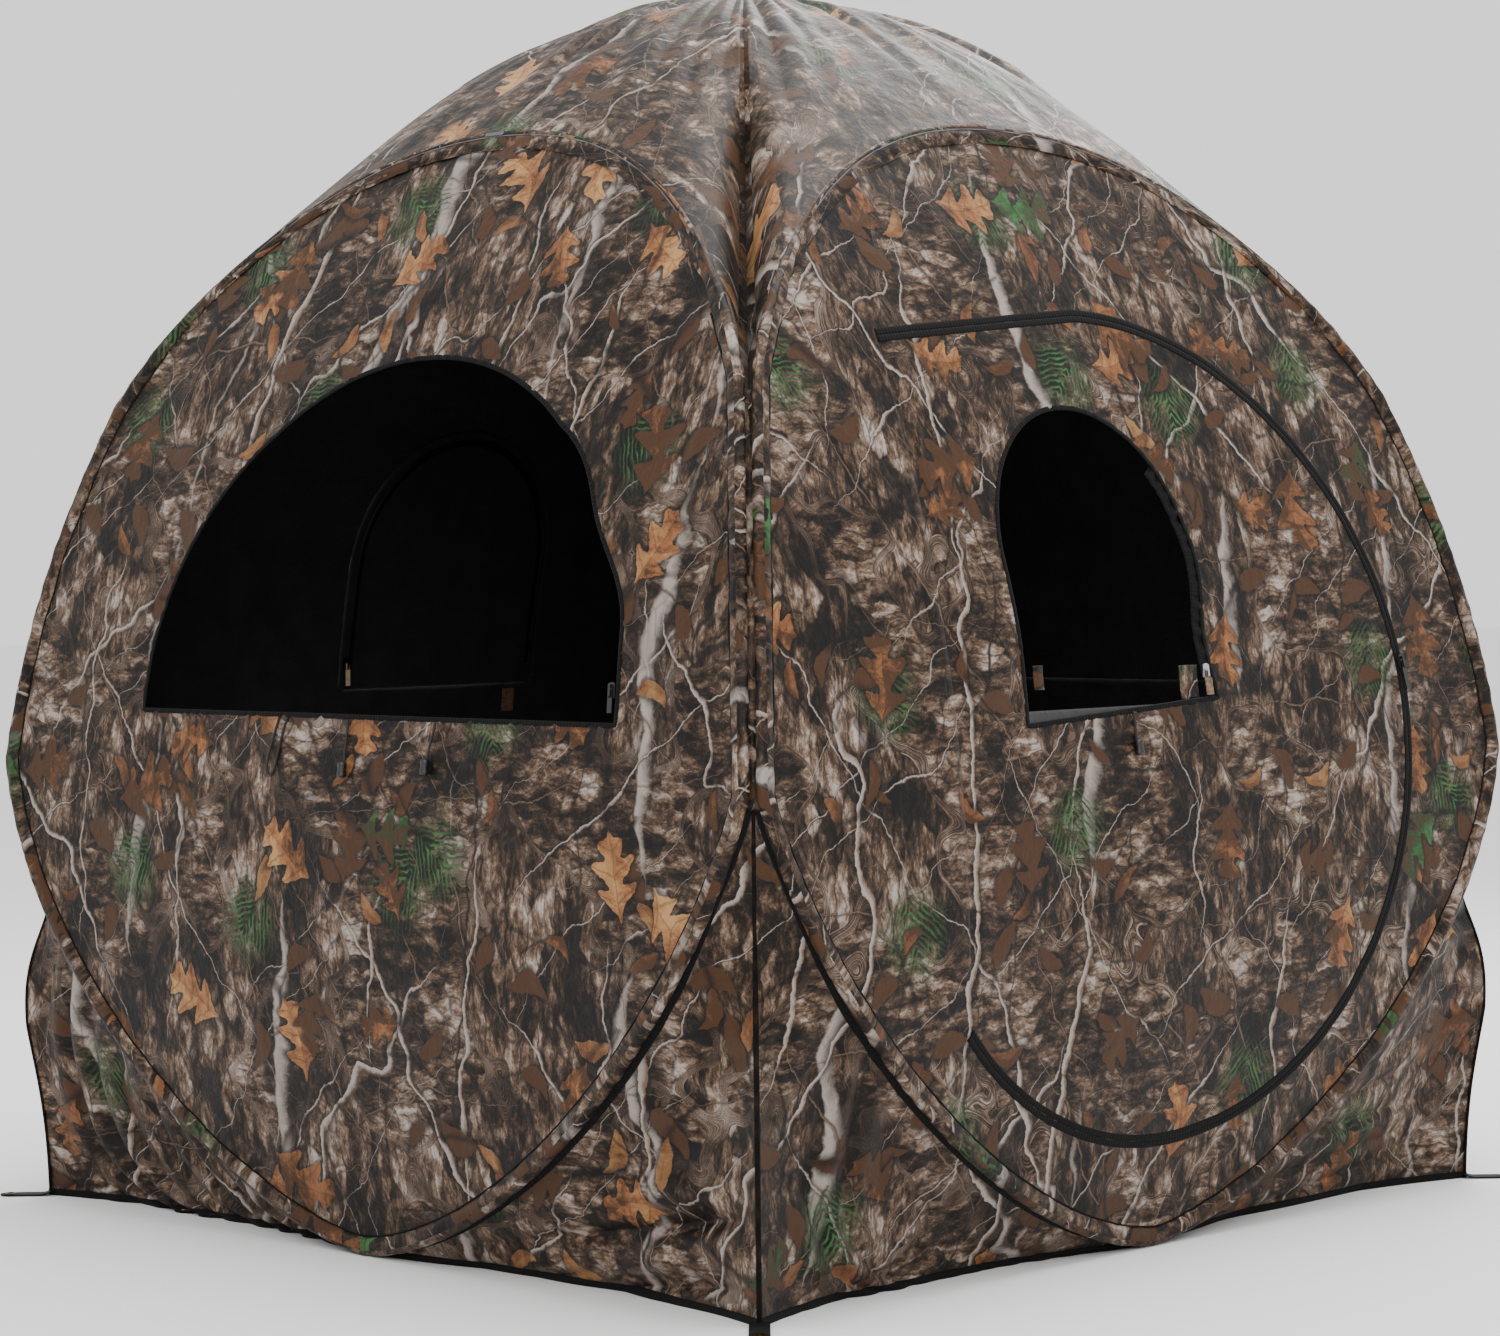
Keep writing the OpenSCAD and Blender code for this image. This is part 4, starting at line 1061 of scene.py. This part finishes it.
def build_gusset_seam(name, corner, line):
    """The bound seam down the middle of a gusset, coloured dark as painted shade."""
    outward = line[:, :2] / np.linalg.norm(line[:, :2], axis=1, keepdims=True)
    across = np.stack([-outward[:, 1], outward[:, 0]], -1)
    shift = np.array([-3.0, -1.9, 0.0, 1.9, 3.0]) * MM
    out = np.array([-2.8, 0.2, 0.8, 0.2, -2.8]) * MM
    flat = line[:, None, :2] + shift[None, :, None] * across[:, None]
    flat = flat + out[None, :, None] * outward[:, None]
    points = np.concatenate([flat, np.broadcast_to(line[:, None, 2:], (len(line), 5, 1))], -1)
    uv = np.stack(np.broadcast_arrays(line[:, 2:3], shift[None]), -1)
    seam = grid_piece(f"gusset_seam_{name}", turned(points, corner - 1), uv, [MATERIALS["seam_painted_shade"]])
    thicken(seam, TAPE_THICK, offset=0.0)
    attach(seam, "frame")


def build_hem(name, corner, rows):
    """Black binding folded over the gusset's foot."""
    foot = rows[0]
    outward = foot[:, :2] / np.linalg.norm(foot[:, :2], axis=1, keepdims=True)
    heights = np.array([0.4, 0.4, 3.0, 6.0, 9.0, 9.6]) * MM
    out = np.array([-2.0, 1.2, 1.8, 1.8, 1.3, 0.2]) * MM
    base = np.stack([np.interp(heights, rows[:, k, 2], rows[:, k, 0]) for k in range(len(foot))], 1)
    deep = np.stack([np.interp(heights, rows[:, k, 2], rows[:, k, 1]) for k in range(len(foot))], 1)
    flat = np.stack([base, deep], -1) + out[:, None, None] * outward[None]
    points = np.concatenate([flat, np.broadcast_to(heights[:, None, None], (*base.shape, 1))], -1)
    along = np.concatenate([[0], np.cumsum(np.linalg.norm(np.diff(foot, axis=0), axis=1))])
    uv = np.stack(np.broadcast_arrays(along[None], np.cumsum(np.abs(heights) + 0.001)[:, None]), -1)
    piece = grid_piece(f"hem_{name}", turned(points, corner - 1), uv, [MATERIALS["grosgrain"]])
    thicken(piece, TAPE_THICK, offset=0.0)
    return belong(piece, "frame", f"hem_binding_{name}")


class BLIND_OT_walls(bpy.types.Operator):
    """Build the four bowed walls"""

    bl_idname = "blind.walls"
    bl_label = "Walls"

    def execute(self, context):
        build_walls()
        return {"FINISHED"}


class BLIND_OT_sleeves(bpy.types.Operator):
    """Build the hoop sleeves"""

    bl_idname = "blind.sleeves"
    bl_label = "Hoop sleeves"

    def execute(self, context):
        build_sleeves()
        return {"FINISHED"}


class BLIND_OT_roof(bpy.types.Operator):
    """Build the roof gores"""

    bl_idname = "blind.roof"
    bl_label = "Roof"

    def execute(self, context):
        build_roof()
        return {"FINISHED"}


class BLIND_OT_gussets(bpy.types.Operator):
    """Build the corner gussets and their hems"""

    bl_idname = "blind.gussets"
    bl_label = "Corner gussets"

    def execute(self, context):
        build_gussets()
        return {"FINISHED"}


def build_door():
    """The door cloth, which bends along its hinge side where it is one sheet with the wall."""
    s = sizes()
    x, z = patch(window_line(FRONT), door_line(), (-0.05, SILL + 0.12), s.mesh_step)
    hinge = np.clip(1 - (x + DOOR_HINGE) / 0.02, 0, 1)
    x = x - 6 * MM * hinge
    points = on_cloth(x, z, FRONT, -1.4 * MM * np.clip(2 * hinge, 0, 1))
    piece = grid_piece("door_cloth", points, print_uv(x, z, FRONT),
                       [MATERIALS["print"], MATERIALS["coating"]], wrap=True, flip=True)
    thicken(piece, s.cloth, lining=1)
    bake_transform(piece)
    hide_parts("door_panel")
    broad = s.tape + 1.5 * MM
    tapes = (("wall", 0.1 * MM, broad, "frame"), ("door", -broad, -0.3 * MM, "door"))
    for name, inner, outer, body in tapes:
        tape = laid_strip(f"zip_tape_{name}", door_line(), inner, outer, 0.4 * MM, FRONT,
                          [MATERIALS["grosgrain"]])
        belong(tape, body, f"door_zip_tape_{name}")
    build_coil("door_zip_coil", beside(door_line(), -2.2 * MM, closed=False), -4.2 * MM, FRONT, "door")


class BLIND_OT_door(bpy.types.Operator):
    """Build the door cloth and its zip"""

    bl_idname = "blind.door"
    bl_label = "Door"

    def execute(self, context):
        build_door()
        return {"FINISHED"}


def build_windows():
    """Bindings round the windows."""
    s = sizes()
    for side, key in ((FRONT, "door"), (RIGHT, "right"), (BACK, "back"), (LEFT, "left")):
        body = "door" if side == FRONT else "frame"
        line = window_line(side)
        tape = laid_strip(f"{key}_window_tape", line, -1 * MM, s.tape - 1.5 * MM, 0.4 * MM, side,
                          [MATERIALS["grosgrain"]], closed=True, frill=0.8 * MM)
        belong(tape, body, f"{key}_window_binding")
        if side in (RIGHT, BACK):
            build_inner_zip(side, key)
    ruffle = window_line(FRONT)
    ruffle = ruffle[(ruffle[:, 0] > WINDOW_X[FRONT]) & (ruffle[:, 1] < SILL + s.small_side + 0.12)]
    frill = laid_strip("door_window_zip_tape", ruffle, -17 * MM, 0.5 * MM, -1.8 * MM, FRONT,
                       [MATERIALS["grosgrain"]], frill=-2.2 * MM, step=3 * MM)
    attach(frill, "door")
    build_facing()
    # Name, place on the wall, width and height in metres
    tabs = (("right", 0.068, 0.700, 0.036, 0.044), ("left", -0.226, 0.722, 0.018, 0.030))
    for name, x, z, wide, tall in tabs:
        build_tab(f"door_window_tab_{name}", FRONT, x, z, wide, tall, -3.2 * MM, "door")


def build_facing():
    """The cloth that the door window's flap hangs from, between the askew sill and the flap's hinge."""
    half = sizes().small_half
    x = WINDOW_X[FRONT] + half * np.linspace(-1.08, 1.08, 25)[None]
    sill = SILL + np.interp(x - WINDOW_X[FRONT], [-half, half], [SILL_LEFT, SILL_RIGHT])
    foot, head = np.minimum(sill, SILL) - 5 * MM, np.maximum(sill, SILL) + 1 * MM
    z = foot + (head - foot) * np.linspace(0, 1, 5)[:, None]
    x = x + 0 * z
    piece = grid_piece("door_window_facing", on_cloth(x, z, FRONT, -1.9 * MM), print_uv(x, z, FRONT),
                       [MATERIALS["coating"]])
    thicken(piece, 0.5 * MM, offset=0.0)
    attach(piece, "door")


def build_inner_zip(side, key):
    """The zip on the inside of a closed window: two tapes with the coil between them."""
    line = beside(window_line(side), -1 * MM, closed=False)
    line = line[line[:, 1] > SILL + ZIP_START]
    body = f"{key}_window_flap"
    tapes = (("flap", -9 * MM, -0.4 * MM, -5.4 * MM, body),
             ("wall", 2.5 * MM, 10 * MM, -2.4 * MM, "frame"))
    for part, inner, outer, out, rides in tapes:
        tape = laid_strip(f"{key}_inner_tape_{part}", line, inner, outer, out, side,
                          [MATERIALS["grosgrain"]])
        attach(tape, rides)
    build_coil(f"{key}_window_coil", line, -6.2 * MM, side, body)


# Half the distance between the turns of a zip's coil
HALF_TURN = 0.75 * MM


def build_coil(name, path, out, side, body):
    """A zip's nylon coil: a rib for every turn of it."""
    p, along = evenly(path, HALF_TURN, closed=False)
    turn = np.linspace(0, 2 * math.pi, 6, endpoint=False)
    size = np.where(np.arange(len(p)) % 2, 1.3, 0.8)[:, None] * MM
    ahead = np.gradient(p, axis=0)
    ahead = ahead / np.linalg.norm(ahead, axis=1, keepdims=True)
    x = p[:, 0, None] + 1.5 * size * np.cos(turn) * ahead[:, 1, None]
    z = p[:, 1, None] - 1.5 * size * np.cos(turn) * ahead[:, 0, None]
    points = on_cloth(x, z, side, out + size * np.sin(turn))
    uv = np.stack(np.broadcast_arrays(along[:, None], np.append(turn, 6.3)[None] * MM), -1)
    piece = grid_piece(name, points, uv, [MATERIALS["nylon"]], wrap=True)
    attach(piece, body)


def build_tab(name, side, x, z, wide, tall, out, body):
    """A small printed tab, folded double and curling a little at its free end."""
    u, v = np.meshgrid(np.linspace(-0.5, 0.5, 9), np.linspace(0, 1, 13))
    curl = 2.5 * MM * v ** 3 + 0.6 * MM * np.cos(2 * math.pi * u)
    points = on_wall(x + u * wide, z + v * tall, out + curl, side)
    uv = np.stack([x + u * wide + 4.4, z + v * tall + 2.0], -1)
    piece = grid_piece(name, points, uv, [MATERIALS["print"]])
    thicken(piece, 1.4 * MM, offset=0.0)
    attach(piece, body)


class BLIND_OT_windows(bpy.types.Operator):
    """Build the window bindings"""

    bl_idname = "blind.windows"
    bl_label = "Windows"

    def execute(self, context):
        build_windows()
        return {"FINISHED"}


def build_flaps():
    """Window flaps, bowed like the wall: two closed behind their windows, two turned down inside."""
    s = sizes()
    for side, key in ((RIGHT, "right"), (BACK, "back"), (LEFT, "left"), (FRONT, "door")):
        big, dropped = side in (RIGHT, LEFT), side in (LEFT, FRONT)
        line = beside(window_line(side), 14 * MM, closed=False)
        line[:, 1] = np.maximum(line[:, 1], SILL - 2 * MM)
        x, z = patch(None, line, (WINDOW_X[side], SILL + WINDOW_MIDDLE), s.mesh_step)
        if dropped:
            clear = np.clip((z - SILL) / 0.03, 0, 1)
            fold = 1.2 * MM * ripple(x, 0.2 * z, 0.11, 40 + side)
            depth = -ROOT_DEPTH - clear * 2.5 * MM
            points = turned_down(on_wall(x, z, depth + clear * (fold + slack(x, z, side)), FRONT))
            points = turned(points, side)
        else:
            points = on_cloth(x, z, side, -FLAP_DEPTH)
        piece = grid_piece(f"{key}_flap", points, print_uv(x, z, side),
                           [MATERIALS["print"], MATERIALS["coating"]], wrap=True, cap=True, flip=True)
        thicken(piece, 1.0 * MM, lining=1)
        belong(piece, f"{key}_window_flap", f"{key}_window_flap")


def turned_down(points):
    """A closed flap's points, drawn for the front, turned down inside about the sill's hinge."""
    hinge = np.array([0, -wall_out(SILL) + 3 * MM, SILL - 2 * MM])
    _, inward, up = np.moveaxis(points - hinge, -1, 0)
    y = inward * math.cos(FLAP_DROP) + up * math.sin(FLAP_DROP) + hinge[1] + 2 * MM
    z = up * math.cos(FLAP_DROP) - inward * math.sin(FLAP_DROP) + hinge[2]
    return np.stack([points[..., 0], y, z], -1)


class BLIND_OT_flaps(bpy.types.Operator):
    """Build the window flaps"""

    bl_idname = "blind.flaps"
    bl_label = "Window flaps"

    def execute(self, context):
        build_flaps()
        return {"FINISHED"}


# The cords' routes on their walls, in millimetres across the wall and up from ROUTE_TOP
LOOP_ROUTE = ((-112, 4), (-118, -12), (-122, -28), (-126, -44), (-129, -58), (-133, -68), (-139, -72),
              (-145, -68), (-147, -58), (-144, -44), (-139, -28), (-134, -12), (-129, 4))
OUTER_ROUTE = ((12, 4), (13, -10), (12, -24), (11, -38), (12, -50))
INNER_ROUTE = ((184, 4), (182, -8), (178, -20), (175, -32), (174, -42))
DOOR_ROUTE = ((-58, 4), (-57, -6), (-57, -18), (-58, -32))
CORD = 3 * MM
# Height of a barrel toggle, and how far its middle stands off the wall
BARREL_TALL, BARREL_OUT = 20 * MM, 6.5 * MM
ROUTE_TOP = SILL - 10 * MM


def route_points(route, side):
    """A cord's route on a wall, in metres."""
    x, z = np.array(route, float).T * MM
    z = z + ROUTE_TOP
    return turned(np.stack([x, -wall_out(z) - CORD / 2 - 1.3 * MM, z], -1), side)


def build_cord(name, route, side, body, length, far_end, nodes):
    """An elastic cord that hangs from a sill. nodes are the frame's cord and its toggle, if it has one."""
    points = route_points(route, side)
    line = bpy.data.curves.new(name, "CURVE")
    line.dimensions, line.bevel_depth, line.bevel_resolution, line.use_fill_caps = "3D", CORD / 2, 4, True
    spline = line.splines.new("NURBS")
    spline.points.add(len(points) - 1)
    for dot, place in zip(spline.points, points):
        dot.co = (*place, 1)
    spline.use_endpoint_u, spline.order_u, spline.resolution_u = True, 3, 8
    line.materials.append(MATERIALS["elastic"])
    piece = bpy.data.objects.new(name, line)
    bpy.context.scene.collection.objects.link(piece)
    belong(piece, body, nodes[0])
    held = [build_toggle(nodes[1], route, side, body)] if nodes[1] else []


def build_toggle(name, route, side, body):
    """A barrel toggle turned with three grooves, and with a rounded mouth where the cord goes in."""
    x, z = np.array(route[-1], float) * MM
    z = z + ROUTE_TOP
    # Height and radius of the barrel's outline, in millimetres
    steps = ((0, 0.3), (0.3, 3.6), (1.2, 5.2), (3.0, 6.0), (6.2, 5.8), (7.0, 5.1), (7.8, 5.8),
             (9.2, 5.4), (10, 4.8), (10.8, 5.4), (12.2, 5.8), (13, 5.1), (13.8, 5.8), (17, 6.0),
             (18.8, 5.2), (19.7, 3.6), (19.9, 2.2), (18.5, 1.7))
    turn = np.linspace(0, 2 * math.pi, 28, endpoint=False)
    up, wide = np.array(steps).T * MM
    around = np.stack(np.broadcast_arrays(wide[:, None] * np.cos(turn), wide[:, None] * np.sin(turn)), -1)
    height = z - BARREL_TALL + up[:, None] + 0 * turn
    points = on_wall(x + around[..., 0], height, BARREL_OUT + around[..., 1], side)
    uv = np.stack(np.broadcast_arrays(np.append(turn, 6.3)[None] * 6 * MM, up[:, None]), -1)
    piece = grid_piece(f"{name}_barrel", points, uv, [MATERIALS["acetal"]], wrap=True, cap=True)
    return belong(piece, body, name)


def build_cords():
    """The sill cords: an elastic loop and two toggles on the left wall, and a toggle on the door."""
    cords = (
        ("sill_elastic", LOOP_ROUTE, LEFT, "frame", 0.1645, "object", ("elastic_loop", None)),
        ("outer_cord", OUTER_ROUTE, LEFT, "frame", 0.0542, "tool", ("toggle_cord_outer", "toggle_outer")),
        ("inner_cord", INNER_ROUTE, LEFT, "frame", 0.0472, "tool", ("toggle_cord_inner", "toggle_inner")),
        ("door_cord", DOOR_ROUTE, FRONT, "door", 0.0362, "tool", ("door_toggle_cord", "door_toggle")),
    )
    for cord in cords:
        build_cord(*cord)


# Half a stake loop's width, how far its hole is from the corner seam, and the hole's radius
LOOP_HALF = 12.5 * MM
HOLE_OUT, HOLE_RADIUS = 56 * MM, 6.5 * MM


def build_stake_loops():
    """Webbing loops, each one strap that is sewn to the hem, folded over and held by its eyelet."""
    far = math.sqrt(2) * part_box("stake_loops")[1].x - LOOP_HALF * (math.sqrt(2) - 1)
    start = sizes().corner_reach - 4 * MM
    turn = np.linspace(-RIGHT_ANGLE, RIGHT_ANGLE, 15)
    run = np.linspace(start, far - LOOP_HALF, 12)
    turn = turn[1:-1]
    end = np.stack([far - LOOP_HALF + LOOP_HALF * np.cos(turn), LOOP_HALF * np.sin(turn)], -1)
    rim = np.concatenate([np.stack([run, 0 * run - LOOP_HALF], -1), end,
                          np.stack([run[::-1], 0 * run + LOOP_HALF], -1)])
    hole = np.array([sizes().corner_reach + HOLE_OUT, 0.0])
    ring = np.linspace(0, 6.2, 24)
    hole_edge = hole + HOLE_RADIUS * np.stack([np.cos(ring), np.sin(ring)], -1)
    x, y = patch(hole_edge, rim, tuple(hole), 3 * MM)
    rise = 1.8 * MM + 7 * MM * np.clip((start + 16 * MM - x) / (20 * MM), 0, 1) ** 1.5
    for i, name in enumerate(CORNERS):
        angle = RIGHT_ANGLE * i - 3 * RIGHT_ANGLE / 2
        cos, sin = math.cos(angle), math.sin(angle)
        points = np.stack([x * cos - y * sin, x * sin + y * cos, rise], -1)
        uv = np.stack([y, x], -1)[:, np.r_[0:x.shape[1], 0]]
        piece = grid_piece(f"stake_loop_{name}", points, uv, [MATERIALS["webbing"]], wrap=True)
        thicken(piece, 1.8 * MM, offset=0.0)
        belong(piece, "frame", "stake_loops")


def finish_fittings():
    """Gives the frame's own fittings their finishes and takes the sharpness off them."""
    finishes = {"spring": ["hoop_front", "hoop_right", "hoop_back", "hoop_left", "hoop_ferrules"],
                "brass": ["stake_eyelets"], "zinc": ["door_window_slider"],
                "cream": ["right_window_pull", "back_window_pull"],
                "tag": ["back_hold_tab", "door_window_pull"],
                "enamel": ["door_zip_slider", "door_zip_pull", "left_window_slider", "left_window_pull",
                           "right_window_slider", "back_window_slider"]}
    for finish, nodes in finishes.items():
        for name in nodes:
            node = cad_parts[name]
            node.data.materials.clear()
            node.data.materials.append(MATERIALS[finish])
            if not name.startswith("hoop"):
                round_edges(node, 0.35 * MM)


class BLIND_OT_fittings(bpy.types.Operator):
    """Finish the sliders, pulls, eyelets and hoops"""

    bl_idname = "blind.fittings"
    bl_label = "Fittings"

    def execute(self, context):
        build_stake_loops()
        finish_fittings()
        return {"FINISHED"}


class BLIND_OT_cords(bpy.types.Operator):
    """Build the sill cords and their toggles"""

    bl_idname = "blind.cords"
    bl_label = "Sill cords"

    def execute(self, context):
        build_cords()
        return {"FINISHED"}


def build_stage():
    """Camera, soft lights and a pale floor."""
    v = bpy.context.scene.blind_view
    beside_corner = -v.distance / math.sqrt(2)
    camera = bpy.data.objects.new("camera", bpy.data.cameras.new("camera"))
    bpy.context.scene.collection.objects.link(camera)
    camera.data.lens, camera.data.sensor_width = v.lens, 36
    camera.data.shift_y = v.rise
    aim = Matrix.Rotation(-math.pi / 4, 4, "Z") @ Matrix.Rotation(RIGHT_ANGLE, 4, "X")
    stand = Matrix.Translation((beside_corner, beside_corner, v.height))
    camera.matrix_world = stand @ aim @ Matrix.Rotation(-v.roll, 4, "Z")
    bpy.context.scene.camera = camera
    # Name, place, target, width in metres and power in watts
    lamps = (("overhead", (0.3, -0.6, 4.4), (0, 0, 0.8), 3.0, 170),
             ("front", (-4.6, -4.0, 3.0), (0, 0, 0.7), 2.6, 120),
             ("roof", (3.0, 1.2, 3.6), (0.2, -0.3, 1.5), 2.0, 105))
    for name, place, target, width, power in lamps:
        lamp = bpy.data.objects.new(name, bpy.data.lights.new(name, "AREA"))
        bpy.context.scene.collection.objects.link(lamp)
        lamp.data.size, lamp.data.energy = width, power
        lamp.location = place
        lamp.rotation_euler = (Vector(target) - Vector(place)).to_track_quat("-Z", "Y").to_euler()
    world = bpy.data.worlds.new("pale surround")
    bpy.context.scene.world = world
    world.use_nodes = True
    sky = world.node_tree.nodes["Background"]
    sky.inputs["Color"].default_value = (*linear("FFFFFF"), 1)
    sky.inputs["Strength"].default_value = 1.3
    bpy.ops.mesh.primitive_grid_add(x_subdivisions=4, y_subdivisions=4, size=60, location=(0, 0, 0))
    floor = bpy.context.object
    floor.name = "floor"
    # The eye gets a plain matt white that takes soft shadows
    material, tree, shader = new_material("pale_paper", {"Roughness": 0.9})
    speck = add(tree, "TexNoise", {"Scale": 3.0, "Detail": 2.0})
    tone = ramp(tree, speck, ((0.3, linear("F0F0F0")), (0.7, linear("F6F6F6"))))
    tree.links.new(tone.outputs[0], shader.inputs["Base Color"])
    floor.data.materials.append(material)


class BLIND_OT_stage(bpy.types.Operator):
    """Set up the camera, the lights and the floor"""

    bl_idname = "blind.stage"
    bl_label = "Stage"

    def execute(self, context):
        build_stage()
        return {"FINISHED"}


OPERATORS = (BLIND_OT_stage, BLIND_OT_cords, BLIND_OT_walls, BLIND_OT_sleeves, BLIND_OT_roof,
             BLIND_OT_gussets, BLIND_OT_door, BLIND_OT_windows, BLIND_OT_flaps, BLIND_OT_fittings)


class BLIND_PT_panel(bpy.types.Panel):
    """Lists the blind's operators"""

    bl_idname = "BLIND_PT_panel"
    bl_label = "Pop-up blind"
    bl_space_type = "VIEW_3D"
    bl_region_type = "UI"
    bl_category = "Blind"

    def draw(self, context):
        for operator in OPERATORS:
            self.layout.operator(operator.bl_idname)


CLASSES = (BlindSizes, BlindColours, BlindView, *OPERATORS, BLIND_PT_panel)


def register():
    """Registers the classes and hangs the properties on the scene."""
    for c in CLASSES:
        bpy.utils.register_class(c)
    bpy.types.Scene.blind_sizes = PointerProperty(type=BlindSizes)
    bpy.types.Scene.blind_colours = PointerProperty(type=BlindColours)
    bpy.types.Scene.blind_view = PointerProperty(type=BlindView)


def unregister():
    """Takes the properties and the classes away again."""
    del bpy.types.Scene.blind_view, bpy.types.Scene.blind_colours, bpy.types.Scene.blind_sizes
    for c in reversed(CLASSES):
        bpy.utils.unregister_class(c)


def main():
    """Builds the blind."""
    register()
    make_materials()
    for operator in OPERATORS:
        group_name, call = operator.bl_idname.split(".")
        getattr(getattr(bpy.ops, group_name), call)()


if __name__ == "__main__":
    main()
